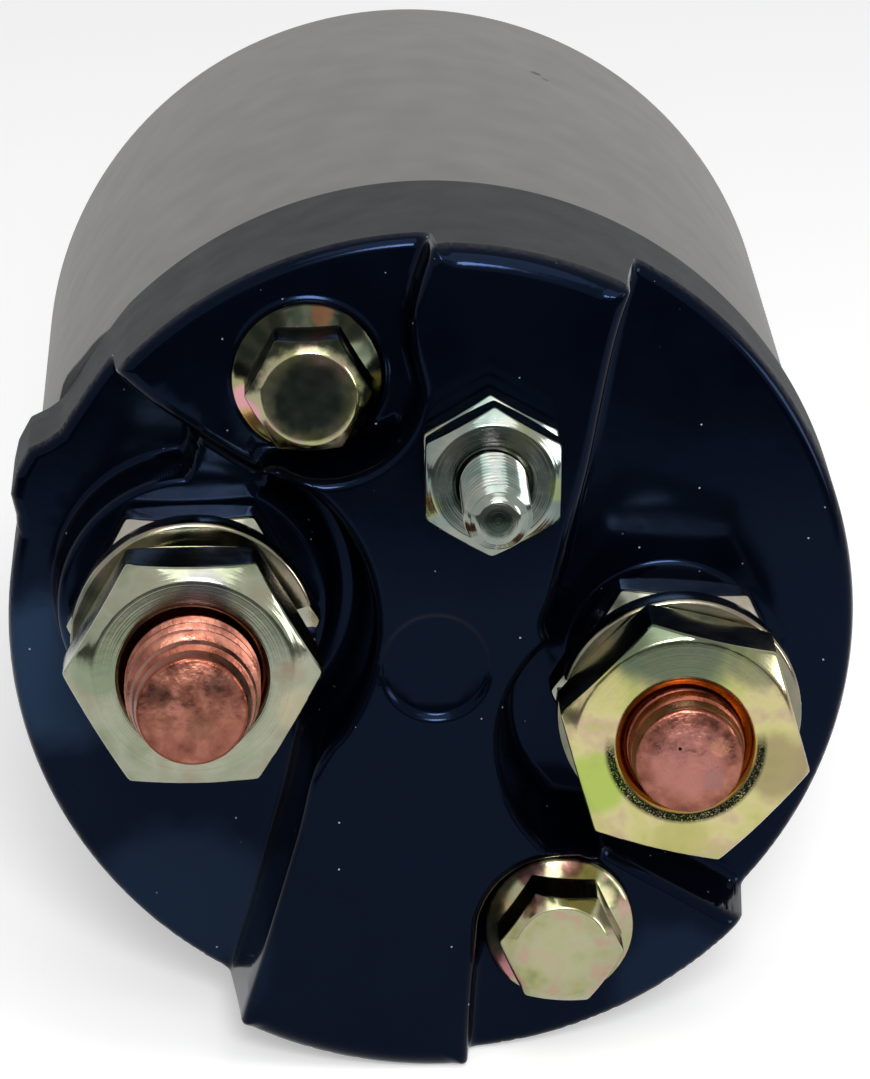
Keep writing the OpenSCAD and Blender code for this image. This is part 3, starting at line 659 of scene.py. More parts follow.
def grid_round(centre: Pair, reach: float, step: float) -> tuple[np.ndarray, tuple[int, int]]:
    """Places on a square grid round a centre, one a row, and the grid's shape."""
    local = np.arange(-reach, reach, step)
    gx, gz = np.meshgrid(centre[0] + local, centre[1] + local)
    return np.column_stack((gx.ravel(), gz.ravel())), gx.shape


def is_near(points: np.ndarray, centres: list[np.ndarray], reach: float) -> np.ndarray:
    """Whether each place is within reach of one of the centres."""
    return np.min([np.linalg.norm(points - c, axis=1) for c in centres], axis=0) < reach


def inside_distance(points: np.ndarray, outline: np.ndarray) -> np.ndarray:
    """Distance of each place to a closed outline, positive inside it."""
    best = np.full(len(points), 1e9)
    crossings = np.zeros(len(points), int)
    for (ax, az), (bx, bz) in zip(outline, np.roll(outline, -1, axis=0)):
        ex, ez = bx - ax, bz - az
        px, pz = points[:, 0] - ax, points[:, 1] - az
        t = np.clip((px * ex + pz * ez) / max(ex * ex + ez * ez, 1e-12), 0, 1)
        best = np.minimum(best, (px - t * ex) ** 2 + (pz - t * ez) ** 2)
        if az != bz:
            crossings += ((az > points[:, 1]) != (bz > points[:, 1])) & (px < ex * pz / ez)
    return np.where(crossings % 2 == 1, 1, -1) * np.sqrt(best)


def raise_block(
    under: np.ndarray,
    inside: np.ndarray,
    top: float,
    round_top: np.ndarray | float,
    round_foot: float,
    draft: np.ndarray | float,
) -> np.ndarray:
    """Depth of a surface once a block with sloping, rounded walls stands on it.

    Args:
        under: depth of the surface below.
        inside: distance inside the block's outline in the front plane, negative outside it.
        top: depth of the block's top.
        round_top: radius of its upper edge.
        round_foot: radius where its wall meets the surface below.
        draft: slope of its wall in degrees.

    Returns:
        The new depths.
    """
    high = np.maximum(under - top, 1e-3)
    upper, lower = np.minimum(round_top, 0.45 * high), np.minimum(round_foot, 0.45 * high)
    angle = np.radians(draft) + 1e-4
    sine, cosine = np.sin(angle), np.cos(angle)
    edge = upper * (1 - sine) / cosine
    foot = -(lower + (high - lower) * sine) / cosine
    wall = top - inside / np.tan(angle)
    crown = top + upper - np.sqrt(np.maximum(upper**2 - (edge - inside) ** 2, 0))
    hollow = under - lower + np.sqrt(np.maximum(lower**2 - (inside - foot) ** 2, 0))
    depth = np.where(inside > edge, top, np.where(inside > edge - upper * cosine, crown, wall))
    depth = np.where(inside < foot + lower * cosine, hollow, depth)
    depth = np.where(inside < foot, under, depth)
    return np.where(under <= top, under, depth)


@dataclass
class TerminalCap:
    """The moulded cap: a raised centre, two floors, two screw ledges, a pad and a boss.

    Attributes:
        radius: outer radius, a hair inside the CAD cap's.
        floor: depth of the floors; ledge, pad and thickness are depths too.
        ceiling_height: height of the cavity's end; spigot_end, seat_height and guide_height are
            heights too.
        plan_round: radius in plan where the raised centre's wall meets the rim.
        spacing: step of the points along a wall.
    """

    radius: float = 30.998
    floor: float = 10.5
    ledge: float = 3.7
    pad: float = 5.4
    thickness: float = 20.3
    ceiling_height: float = 71.0
    spigot_end: float = 58.2
    spigot_radius: float = 27.85
    cavity_radius: float = 25.65
    column_radius: float = 4.0
    seat_radius: float = 6.0
    seat_height: float = 72.75
    guide_radius: float = 2.6
    guide_height: float = 78.15
    left_stud: Pair = (-17.288, 3.298)
    right_stud: Pair = (17.288, -3.298)
    switch_stud: Pair = (4.155, 15.4)
    upper_screw: Pair = (-8.614, 21.002)
    lower_screw: Pair = (8.614, -21.002)
    stud_hole: float = 4.81
    switch_hole: float = 2.46
    screw_hole: float = 2.45
    pad_radius: float = 9.85
    boss_radius: float = 6.9
    mark_radius: float = 4.2
    mark_depth: float = 0.3
    ring_radius: float = 5.5
    ring_height: float = 0.12
    wall_draft: float = 5.0
    foot_round: float = 0.8
    wall_round: float = 0.8
    ledge_round: float = 1.1
    rim_round: float = 0.95
    centre_rim_round: float = 1.65
    plan_round: float = 0.45
    spacing: float = 0.33

    def left_wall(self) -> np.ndarray:
        """Wall of the raised centre from the top rim, round the upper screw and left stud, down."""
        points = [(1.0, 33.5), (0.3, 30.6), (-0.6, 28.0), (-1.1, 25.8), (-1.1, 23.5)]
        points += arc(-7.6, 21.2, 7.15, -6, -118, 14) + [(-12.05, 14.75), (-11.3, 14.15)]
        points += arc(-17.3, 3.3, 13.1, 51, -44, 20)
        points += [(-9.05, -8.0), (-10.1, -12.1), (-11.7, -17.4)]
        points += [(-13.1, -22.0), (-14.1, -25.0), (-14.9, -27.6), (-16.4, -32.5)]
        return smooth_path(points, self.spacing)

    def right_wall(self) -> np.ndarray:
        """Wall of the raised centre from the bottom rim up, by the lower screw and right stud."""
        points = [(1.5, -34.0), (1.7, -29.5), (1.95, -26.3), (2.3, -22.8)]
        points += arc(8.6, -21.0, 6.15, 168, 68, 13) + [(11.7, -15.25), (10.6, -14.75)]
        points += arc(14.5, -6.4, 10.1, 230, 128, 16) + [(7.95, 3.0), (8.6, 4.9), (9.7, 9.3)]
        points += [(11.1, 14.4), (12.2, 19.6), (13.2, 23.9), (14.3, 27.3), (16.2, 32.5)]
        return smooth_path(points, self.spacing)

    def centre_outline(self) -> np.ndarray:
        """The raised centre's closed outline. It runs far outside the rim at top and bottom."""
        return np.vstack((self.left_wall(), self.right_wall()))

    def upper_ledge(self) -> np.ndarray:
        """Outline of the ledge under the upper screw, first its edge above the left floor."""
        edge = [(-27.5, 25.9), (-22.3, 21.35), (-19.8, 19.05), (-17.2, 17.15)]
        edge += [(-14.2, 15.1), (-12.6, 14.1)]
        rest = [(-11.4, 14.6), (-5, 16), (6, 20), (6, 38), (-27.5, 38)]
        return np.vstack((smooth_path(edge, self.spacing), rest))

    def lower_ledge(self) -> np.ndarray:
        """Outline of the ledge under the lower screw, first its edge above the right floor."""
        edge = [(26.5, -24.6), (20.9, -20.8), (18.3, -19.2), (15.4, -17.45)]
        edge += [(13.2, -16.1), (12.3, -15.5)]
        rest = [(11.2, -15.1), (5, -14), (-3, -20), (-3, -38), (26.5, -38)]
        return np.vstack((smooth_path(edge, self.spacing), rest))

    def web(self) -> np.ndarray:
        """Closed outline of the web that joins the left stud's pad to the upper ledge."""
        edge = [(-18.6, 12.4), (-17.45, 13.35), (-16.95, 14.4), (-16.75, 15.4), (-16.3, 17.5)]
        rest = [(-11, 17), (-10.3, 14.9), (-12.4, 11.3), (-15, 8)]
        return np.vstack((smooth_path(edge, self.spacing), rest))

    def pad_distance(self, points: np.ndarray) -> np.ndarray:
        """Distance inside the round edge of the left stud's pad."""
        return self.pad_radius - np.hypot(*(points - self.left_stud).T)

    def rim(self, angle: np.ndarray) -> np.ndarray:
        """Outer radius at each angle in radians, with the small lug at the upper left."""
        places = [0, 134, 139, 146, 150.5, 152.5, 154.5, 158, 161, 163.5, 166, 360]
        radii = [31, 31, 30.75, 30.65, 30.75, 31.3, 32.2, 32.4, 32.2, 31.4, 31, 31]
        return np.interp(np.degrees(angle) % 360, places, radii) * self.radius / 31

    def from_rim(self, points: np.ndarray) -> np.ndarray:
        """Distance of each place inside the rim."""
        x, z = points.T
        return self.rim(np.arctan2(z, x)) - np.hypot(x, z)

    def centre_inside(self, points: np.ndarray) -> tuple[np.ndarray, np.ndarray]:
        """Distance inside the raised centre, and how much the rim shapes its edge, from 0 to 1."""
        rim = self.radius - np.hypot(points[:, 0], points[:, 1])
        wall = inside_distance(points, self.centre_outline())
        plan = self.plan_round
        corner = plan - np.hypot(np.clip(plan - wall, 0, None), np.clip(plan - rim, 0, None))
        inside = np.where((wall < plan) & (rim < plan), corner, np.minimum(wall, rim))
        share = np.clip((wall - rim) / 2 + 0.5, 0, 1)
        return inside, share * share * (3 - 2 * share)

    def depths(self, points: np.ndarray) -> np.ndarray:
        """Depth of the cap's front surface at places in its plane, without the holes."""
        x, z = points.T
        rim = self.from_rim(points)
        depth = np.full(len(points), self.floor)
        pad = np.maximum(self.pad_distance(points), inside_distance(points, self.web()))
        depth = raise_block(depth, pad, self.pad, round_top=0.55, round_foot=0.7, draft=4)
        boss = self.boss_radius - np.hypot(x - self.right_stud[0], z - self.right_stud[1])
        depth = raise_block(depth, boss, self.pad, round_top=0.5, round_foot=0.6, draft=3)
        for outline in (self.upper_ledge(), self.lower_ledge()):
            inside = inside_distance(points, outline)
            depth = raise_block(
                depth, inside, self.ledge, self.ledge_round, self.foot_round, self.wall_draft
            )
        ring = np.abs(np.hypot(x - self.upper_screw[0], z - self.upper_screw[1]) - self.ring_radius)
        depth = depth - self.ring_height * np.clip(1 - (ring / 0.3) ** 2, 0, 1)
        short = np.clip(self.rim_round - rim, 0, self.rim_round)
        depth = depth + self.rim_round - np.sqrt(self.rim_round**2 - short**2)
        inside, share = self.centre_inside(points)
        # The tips beside the ledges are worn rounder
        cusps = ((-11.8, 14.4), (11.2, -15.1))
        worn = sum(np.clip(1 - np.hypot(x - cx, z - cz) / 3.2, 0, 1) ** 2 for cx, cz in cusps)
        top_round = self.wall_round + (self.centre_rim_round - self.wall_round) * share + 2.4 * worn
        draft = self.wall_draft * (1 - share)
        depth = raise_block(depth, inside, 0.0, top_round, self.foot_round, draft)
        mark = np.clip((self.mark_radius - np.hypot(x, z)) / 0.7, 0, 1)
        return depth + self.mark_depth * mark * mark * (3 - 2 * mark)

    def rows_beside(
        self, path: np.ndarray, offsets: list[float], outline: np.ndarray
    ) -> np.ndarray:
        """Points in rows beside a wall, where the wall is still the nearest thing.

        Args:
            path: the wall's points.
            offsets: distance of each row, positive inside the outline.
            outline: the closed outline that the wall is part of.

        Returns:
            The points, one a row.
        """
        ahead = np.gradient(path, axis=0)
        ahead /= np.linalg.norm(ahead, axis=1)[:, None]
        side = np.column_stack((-ahead[:, 1], ahead[:, 0]))
        middle = len(path) // 2
        if inside_distance(path[middle][None] + side[middle] * 0.05, outline)[0] < 0:
            side = -side
        found = []
        for offset in offsets:
            row = path + side * offset
            found.append(row[np.abs(inside_distance(row, outline) - offset) < 0.03])
        return np.vstack(found)

    def corner_rows(self, corner: np.ndarray, offsets: list[float]) -> np.ndarray:
        """Points at distances inside the raised centre's edge, where its wall meets the rim."""
        step = 0.045
        grid, shape = grid_round(corner, 2.6, step)
        inside = self.centre_inside(grid)[0]
        slope_z, slope_x = np.gradient(inside.reshape(shape), step)
        slope = np.column_stack((slope_x.ravel(), slope_z.ravel()))
        slope /= np.maximum(np.linalg.norm(slope, axis=1)[:, None], 0.3)
        found = []
        for offset in offsets:
            short = offset - inside
            moved = (grid + slope * short[:, None])[np.abs(short) < step / 2]
            found.append(moved[np.abs(self.centre_inside(moved)[0] - offset) < 0.004])
        return np.vstack(found)

    def circle_rows(self, centre: Pair, radii: list[float]) -> np.ndarray:
        """Points on circles round a centre, each circle with as many as the others."""
        rows = []
        apart = 0.24
        count = max(24, round(math.tau * max(radii) / apart))
        for k, r in enumerate(radii):
            angles = (np.arange(count) + 0.5 * (k % 2)) * math.tau / count
            rows.append(np.column_stack(turn_about(centre, r, angles)))
        return np.vstack(rows)

    def rim_rows(self, corners: list[np.ndarray]) -> tuple[np.ndarray, np.ndarray]:
        """The rim's points in order, closest at corners and lug, and rows of points inside it."""
        apart = 0.06
        angles = np.linspace(0, math.tau, round(math.tau * self.radius / apart), endpoint=False)
        way = np.column_stack((np.cos(angles), np.sin(angles)))
        edge = way * self.rim(angles)[:, None]
        number, degrees = np.arange(len(edge)), np.degrees(angles)
        lug = (degrees > 148) & (degrees < 168)
        keep = is_near(edge, corners, 2.6) | (lug & (number % 2 == 0)) | (number % 6 == 0)
        rows = []
        for size in (self.rim_round, self.centre_rim_round):
            for turn in (6, 14, 24, 34, 45, 56, 68, 80, 90, 96):
                inward = 1 - math.cos(math.radians(min(turn, 90)))
                inset = size * inward + (0.1 if turn > 90 else 0)
                rows.append((way * (self.rim(angles) - inset)[:, None])[keep])
        return edge[keep], np.vstack(rows)

    def wall_rows(self, corners: list[np.ndarray]) -> np.ndarray:
        """Rows of points over the raised centre's edge, its wall and its foot."""
        crown = [self.wall_round * s for s in (1.1, 0.93, 0.75, 0.57, 0.4, 0.25, 0.12, 0.02)]
        wall = [-0.06, -0.3, -0.6, -0.92]
        # The foot lies further out below a floor than below a ledge
        foot = [-(out + s) for out in (0.28, 0.85) for s in (0.0, 0.1, 0.22, 0.36, 0.52, 0.7, 0.86)]
        centre = self.centre_outline()
        walls = (self.left_wall(), self.right_wall())
        beside = np.vstack([self.rows_beside(path, crown + wall + foot, centre) for path in walls])
        at_corner = crown + wall + [-0.14, -0.22, -0.45, -0.75] + foot
        turns = np.vstack([self.corner_rows(corner, at_corner) for corner in corners])
        away = ~is_near(beside, corners, 2.5)
        return np.vstack((turns[is_near(turns, corners, 2.5)], beside[away]))

    def places(self) -> tuple[np.ndarray, int]:
        """All the places where the front surface gets a point, and how many of them are on the rim.

        The rim's places come first and in order.
        """
        tops = [np.array(p) for p in ((0.3, 30.6), (14.2, 27.4), (-14.9, -27.2), (1.8, -30.6))]
        corners = tops + [np.array((-22.5, 21.3)), np.array((22.3, -21.5))]
        rim, inside_rim = self.rim_rows(corners)
        groups = [rim, self.wall_rows(tops)]
        shares = (1.1, 0.93, 0.78, 0.62, 0.47, 0.33, 0.2, 0.1, 0.0)
        offsets = [self.ledge_round * s - 0.02 for s in shares]
        offsets += [-0.3, -0.58, -0.62, -0.72, -0.84, -0.98, -1.14, -1.3, -1.42]
        for outline in (self.upper_ledge(), self.lower_ledge()):
            groups.append(self.rows_beside(outline[:-5], [v - 0.32 for v in offsets], outline))
        web = self.web()
        offsets = [0.65, 0.5, 0.36, 0.23, 0.12, 0.03, -0.04]
        offsets += [-0.2, -0.35, -0.45, -0.56, -0.7, -0.85, -1.05]
        by_web = self.rows_beside(web[:-4], offsets, web)
        groups.append(by_web[inside_distance(by_web, web) > self.pad_distance(by_web) - 0.02])
        by_pad = self.circle_rows(self.left_stud, [self.pad_radius - s for s in offsets])
        groups.append(by_pad[inside_distance(by_pad, web) < self.pad_distance(by_pad) + 0.02])
        circles = (
            (self.right_stud, [6.3, 6.5, 6.7, 6.85, 6.95, 7.15, 7.3, 7.5, 7.75]),
            ((0.0, 0.0), [3.5, 3.66, 3.78, 3.9, 4.02, 4.12, 4.2, 4.32]),
            (self.upper_screw, [5.1, 5.2, 5.3, 5.4, 5.5, 5.6, 5.7, 5.8, 5.9]),
        )
        groups += [self.circle_rows(centre, radii) for centre, radii in circles]
        groups.append(inside_rim)
        meetings = [(c, 2.6) for c in corners]
        meetings += [((-11.9, 14.4), 1.5), ((11.3, -15.1), 1.3), ((-17.7, 13.1), 1.2)]
        groups += [grid_round(corner, reach, 0.11)[0] for corner, reach in meetings]
        pitch = 0.9
        gx, gz = np.meshgrid(np.arange(-32, 32, pitch), np.arange(-32, 32, pitch * 0.866))
        gx = gx + (np.arange(gx.shape[0]) % 2)[:, None] * pitch / 2
        groups.append(np.column_stack((gx.ravel(), gz.ravel())))
        return self.thin(groups), len(rim)

    def thin(self, groups: list[np.ndarray]) -> np.ndarray:
        """Leaves out places outside the rim or too near a place of an earlier group.

        Args:
            groups: the places, group by group. The first is kept whole, the last is the wide grid.

        Returns:
            The places that stay.
        """
        cell, fine = 0.085, 0.03
        taken: dict[tuple[int, int], int] = {}
        close: set[tuple[int, int]] = set()
        kept = []
        for number, group in enumerate(groups):
            if number:
                group = group[self.from_rim(group) > 0.015]
            reach = 1 if number < len(groups) - 1 else 5
            span = range(-reach, reach + 1)
            for x, z in group:
                spot = (math.floor(x / cell), math.floor(z / cell))
                exact = (round(x / fine), round(z / fine))
                around = [(spot[0] + i, spot[1] + k) for i in span for k in span]
                if number and (
                    exact in close or any(taken.get(s, number) != number for s in around)
                ):
                    continue
                taken[spot] = number
                close.add(exact)
                kept.append((x, z))
        return np.array(kept)

    def front_block(self) -> Object:
        """The cap as one closed block: its front relief, its side and a flat back."""
        places, on_rim = self.places()
        edges = [(i, (i + 1) % on_rim) for i in range(on_rim)]
        made = geometry.delaunay_2d_cdt([Vector(p) for p in places.tolist()], edges, [], 1, 1e-6)
        flat = np.array([tuple(v) for v in made[0]])
        origin = {source: i for i, sources in enumerate(made[3]) for source in sources}
        loop = [origin[i] for i in range(on_rim)]
        ring = flat[loop]
        points = [np.column_stack((flat[:, 0], self.depths(flat) - FRONT, flat[:, 1]))]
        faces = [tuple(f) for f in made[2]]
        start, back = len(flat), self.thickness
        for level, inset in ((12.6, 0), (15.0, 0), (17.6, 0), (back - 0.3, 0), (back, 0.3)):
            shrunk = ring * (1 - inset / self.radius)
            height = np.full(on_rim, level - FRONT)
            points.append(np.column_stack((shrunk[:, 0], height, shrunk[:, 1])))
            lower = list(range(start, start + on_rim))
            faces += [(loop[i], loop[k], lower[k], lower[i]) for i, k in edges]
            loop, start = lower, start + on_rim
        faces.append(tuple(reversed(loop)))
        obj = new_object("terminal_cap_moulding", np.vstack(points), faces, PHENOLIC)
        obj.data.materials.append(ETCHED_PHENOLIC.make())
        for side in obj.data.polygons[len(made[2]) :]:
            side.material_index = 1
        close_up(obj, merge_mm=0.0005)
        return obj

    def build(self) -> None:
        """Makes the cap with its spigot, cavity, columns and holes."""
        obj = self.front_block()
        end, r, overlap, chamfer = self.spigot_end, self.spigot_radius, REAR + 2, 0.3
        spigot = [(0, end), (r - chamfer, end), (r, end + chamfer), (r, overlap), (0, overlap)]
        cut(obj, turned("spigot", spigot), "UNION")
        cavity = self.rod((0, 0), self.cavity_radius, 50, self.ceiling_height, 128)
        screws = (self.upper_screw, self.lower_screw)
        for place in screws:
            cut(cavity, self.rod(place, self.column_radius, 40, 80))
        cut(obj, cavity)
        holes = [(self.left_stud, self.stud_hole), (self.right_stud, self.stud_hole)]
        holes += [(self.switch_stud, self.switch_hole)]
        holes += [(place, self.screw_hole) for place in screws]
        for place, r in holes:
            cut(obj, self.rod(place, r, 40, 95))
        cut(obj, self.rod((0, 0), self.seat_radius, 60, self.seat_height))
        cut(obj, self.rod((0, 0), self.guide_radius, 60, self.guide_height))
        close_up(obj, 40, merge_mm=0.0005)
        self.part_finishes(obj)
        finish_piece(obj, Body.CAN, "terminal_cap")

    def part_finishes(self, obj: Object) -> None:
        """Keeps the edge sharp where the glossy front meets the etched side."""
        with editing(obj) as work:
            for edge in work.edges:
                if len({face.material_index for face in edge.link_faces}) > 1:
                    edge.smooth = False

    def rod(self, place: Pair, r: float, low: float, high: float, segments: int = 64) -> Object:
        """A plain round bar along the axis between two heights, for cutting."""
        return turned("rod", [(0, low), (r, low), (r, high), (0, high)], None, place, segments)


# Hardware


@dataclass
class HexHead:
    """A hexagon seen along its axis, with worn corners."""

    across_flats: float
    corner_round: float = 0.3
    turn: float = 0.0
    per_side: int = 20

    def angles(self) -> np.ndarray:
        """Angles in radians round the hexagon, closer together at the corners."""
        crowding = 0.55
        even = np.linspace(-1, 1, self.per_side, endpoint=False)
        one = 30 * np.sign(even) * np.abs(even) ** crowding
        return np.radians(np.concatenate([30 + self.turn + 60 * k + one for k in range(6)]))

    def radii(self, angles: np.ndarray) -> np.ndarray:
        """Distance from the axis to the hexagon's side at each angle in radians."""
        half = self.across_flats / 2
        off = (np.degrees(angles) - self.turn) % 60 - 30
        flat = half / np.cos(np.radians(off))
        centre = half / math.cos(math.radians(30)) - self.corner_round / math.sin(math.radians(60))
        bend = np.radians(30 - np.abs(off))
        side = centre + self.corner_round * math.cos(math.radians(30))
        reach = math.atan2(self.corner_round * 0.5, side)
        inner = self.corner_round**2 - (centre * np.sin(bend)) ** 2
        curved = centre * np.cos(bend) + np.sqrt(np.maximum(inner, 0))
        return np.where(bend < reach, curved, flat)


@dataclass
class HexNut:
    """A hex nut with chamfered faces and a countersunk hole.

    Attributes:
        height_from: height of its lower face.
        turn: degrees that it is turned.
        bore: radius of its hole, and countersink how much wider the hole's mouth is.
        face_radius: radius of the flat face inside the chamfer.
        chamfer_angle: slope of the chamfer in degrees.
        edge: size of the small roundings.
    """

    name: str
    node: str
    centre: Pair
    height_from: float
    thickness: float
    across_flats: float
    turn: float
    bore: float
    countersink: float
    face_radius: float
    finish: Finish
    chamfer_angle: float = 30.0
    edge: float = 0.12

    def level(self, r: np.ndarray | float) -> np.ndarray | float:
        """Height of the face above the middle at a radius, bent softly where the chamfer starts."""
        past = r - self.face_radius
        slope = math.tan(math.radians(self.chamfer_angle))
        return self.thickness / 2 - slope * (past + np.sqrt(past**2 + 0.3 * self.edge**2)) / 2

    def half_section(self, outer: np.ndarray) -> list[tuple]:
        """Radius and height above the middle of each point from the bore to the side's middle."""
        half, e = self.thickness / 2, self.edge
        mouth = self.bore + self.countersink
        sunk = half - self.countersink * 0.45
        middle = np.minimum(self.face_radius, outer - 4 * e)
        low = self.level(outer)
        on_face = (mouth + 3 * e, middle - 3 * e, middle - e, middle, middle + e)
        on_face += (np.maximum(middle + 1.5 * e, outer - 2.4 * e), outer - 1.1 * e)
        return [
            (self.bore, 0.0), (self.bore, sunk - e), (self.bore + e * 0.3, sunk),
            (mouth - e, half - e * 0.5), (mouth + e, self.level(mouth)),
            *((r, self.level(r)) for r in on_face),
            (outer - 0.32 * e, low - 0.4 * e), (outer, low - 1.3 * e), (outer, low - 4 * e),
        ]

    def build(self) -> None:
        """Makes the nut."""
        head = HexHead(self.across_flats, turn=self.turn)
        angles = head.angles()
        half = self.half_section(head.radii(angles))
        middle = self.height_from + self.thickness / 2
        section = [(r, middle + h) for r, h in half]
        section += [(r, middle - h) for r, h in reversed(half[1:])]
        obj = lathe(self.name, section, angles, self.finish, self.centre)
        close_up(obj, 24)
        finish_piece(obj, Body.CAN, self.node)


@dataclass
class ThreadedStud:
    """A stud with a helical thread, a tapered end and a head.

    Attributes:
        radius: the thread's major radius.
        height_from: height of the head's lower face; height_to and thread_from are heights too.
        tip: radius of the end face and length of the taper to it.
        head: width or radius of the head, and its thickness.
        head_turn: degrees that a square head is turned.
        steps: rows of points a turn.
    """

    name: str
    node: str
    slot: str
    centre: Pair
    radius: float
    pitch: float
    height_from: float
    height_to: float
    thread_from: float
    tip: Pair
    finish: Finish
    head: Pair
    head_turn: float = 0.0
    round_head: bool = False
    columns: int = 72
    steps: int = 14
    lip: float = 0.18

    def thread_depth(self, phase: float) -> float:
        """Depth of the thread at a share of a turn, with narrow flat crests and round roots."""
        crest, flank = 0.14, 0.72
        # A thread of 60 degrees is this share of its pitch deep
        full = 0.6134
        share = min(max((abs(phase % 1.0 - 0.5) * 2 - crest) / flank, 0), 1)
        return self.pitch * full * (share * share * (3 - 2 * share) * 0.35 + share * 0.65)

    def shank(self) -> tuple[np.ndarray, list]:
        """Points and faces of the round part, its rows climbing with the thread."""
        n, steps, (tip_radius, tip_length) = self.columns, self.steps, self.tip
        last = int(((self.height_to - self.height_from) / self.pitch + 2) * steps)
        angles = np.linspace(0, math.tau, n, endpoint=False)
        rows, faces = [], []
        for i in range(last + 1):
            height = self.height_from - self.pitch + self.pitch * i / steps
            height = height + self.pitch * angles / math.tau
            start = np.clip((height - self.thread_from) / self.pitch, 0, 1)
            depth = self.thread_depth(i / steps) * start
            height = np.clip(height, self.height_from, self.height_to)
            left = self.height_to - height
            crest = tip_radius + (self.radius - tip_radius) * np.clip(left / tip_length, 0, 1)
            edge = self.lip * (1 - np.sqrt(1 - np.clip(1 - left / self.lip, 0, 1) ** 2))
            fade = np.clip(left / (0.3 * self.pitch), 0, 1)
            r = np.minimum(crest, self.radius - depth * fade) - edge
            x, z = turn_about(self.centre, r, angles)
            rows.append(np.column_stack((x, -height, z)))
        for i in range(last):
            here, above = i * n, (i + 1) * n
            faces += [(here + k, here + k + 1, above + k + 1, above + k) for k in range(n - 1)]
            # A row's end meets the start of the row one turn further up
            up, up_next = min(i + steps, last) * n, min(i + 1 + steps, last) * n
            faces.append((above - 1, up, up_next, above + n - 1))
        return np.vstack(rows), faces

    def build(self) -> None:
        """Makes the stud with its head."""
        obj = new_object(self.name, *self.shank(), self.finish)
        with editing(obj) as work:
            bmesh.ops.remove_doubles(work, verts=work.verts, dist=0.004 * MM)
            bmesh.ops.dissolve_degenerate(work, dist=0.002 * MM, edges=work.edges)
            bmesh.ops.holes_fill(work, edges=[e for e in work.edges if e.is_boundary], sides=0)
            bmesh.ops.triangulate(work, faces=[f for f in work.faces if len(f.verts) > 4])
            bmesh.ops.recalc_face_normals(work, faces=work.faces)
        head = self.make_head()
        head.data.materials.append(self.finish.make())
        cut(obj, head, "UNION", "EXACT")
        shade_smooth(obj, 35)
        finish_piece(obj, Body.CAN, self.node)

    def make_head(self) -> Object:
        """The square or round head, at the stud's place."""
        size, thick = self.head
        low, high, half = self.height_from, self.height_from + thick, size / 2
        if self.round_head:
            profile = rounded([(0, low, 0), (size, low, 0.2), (size, high, 0.15), (0, high, 0)])
            return turned("head", profile, None, self.centre, 48)
        head = block("head", (-half, -low, -half), (half, -high, half))
        turn = Matrix.Rotation(-math.radians(self.head_turn), 4, "Y")
        x, z = self.centre
        head.data.transform(Matrix.Translation((x * MM, 0, z * MM)) @ turn)
        bevel(head, 0.35, 3)
        return head


class PieceTree:
    """Geometry Nodes that grow a piece from an object's own points, with a finish."""

    def __init__(self, name: str, sockets: dict[str, str]) -> None:
        """Starts the tree.

        Args:
            name: the tree's name.
            sockets: the kind of each input's socket by its name.
        """
        self.tree = bpy.data.node_groups.new(name, "GeometryNodeTree")
        for label, kind in {"Points": "Geometry", "Finish": "Material", **sockets}.items():
            self.tree.interface.new_socket(label, in_out="INPUT", socket_type=f"NodeSocket{kind}")
        self.tree.interface.new_socket("Piece", in_out="OUTPUT", socket_type="NodeSocketGeometry")
        self.given = add_node(self.tree, "NodeGroupInput")

    def end(self, shape: Source) -> None:
        """Ends the tree with a shape, made real and given its finish."""
        real = add_node(self.tree, "GeometryNodeRealizeInstances", {"Geometry": shape})
        inputs = {"Geometry": real, "Material": (self.given, "Finish")}
        dressed = add_node(self.tree, "GeometryNodeSetMaterial", inputs)
        add_node(self.tree, "NodeGroupOutput", {"Piece": dressed})

    def run(self, obj: Object, values: dict) -> None:
        """Runs the tree on an object with its inputs' values, and keeps the plain mesh."""
        change = obj.modifiers.new("grow", "NODES")
        change.node_group = self.tree
        for item in self.tree.interface.items_tree:
            if item.item_type == "SOCKET" and item.in_out == "INPUT" and item.name in values:
                change[item.identifier] = values[item.name]
        bake(obj)


class WireTree(PieceTree):
    """Geometry Nodes that sweep a rounded wire along the object's own path."""

    def __init__(self) -> None:
        """Builds the tree."""
        sockets = {"Width": "Float", "Height": "Float", "Corner": "Float"}
        super().__init__("wire along path", sockets)
        tree, given = self.tree, self.given
        path = add_node(tree, "GeometryNodeMeshToCurve", {"Mesh": (given, "Points")})
        upright = add_node(tree, "GeometryNodeSetCurveNormal", {"Curve": path}, mode="Z_UP")
        inputs = {"Width": (given, "Width"), "Height": (given, "Height")}
        section = add_node(tree, "GeometryNodeCurvePrimitiveQuadrilateral", inputs)
        inputs = {"Curve": section, "Count": 4, "Radius": (given, "Corner"), "Limit Radius": True}
        corners = add_node(tree, "GeometryNodeFilletCurve", inputs, mode="POLY")
        inputs = {"Curve": upright, "Profile Curve": corners, "Fill Caps": True}
        self.end(add_node(tree, "GeometryNodeCurveToMesh", inputs))

    def sweep(
        self, name: str, path: np.ndarray, size: Pair, corner: float, finish: Finish
    ) -> Object:
        """Sweeps a wire.

        Args:
            name: the piece's name.
            path: its middle line in x, z and height.
            size: the section's width across the axis and its height along it.
            corner: rounding of the section.
            finish: the wire's finish.

        Returns:
            The wire as a plain mesh in the part's frame.
        """
        obj = new_object(name, path, [], edges=[(i, i + 1) for i in range(len(path) - 1)])
        width, height = size
        values = {"Width": width * MM, "Height": height * MM, "Corner": corner * MM}
        self.run(obj, {**values, "Finish": finish.make()})
        obj.data.transform(TO_FRAME)
        close_up(obj, 35, merge_mm=0.0005)
        return obj


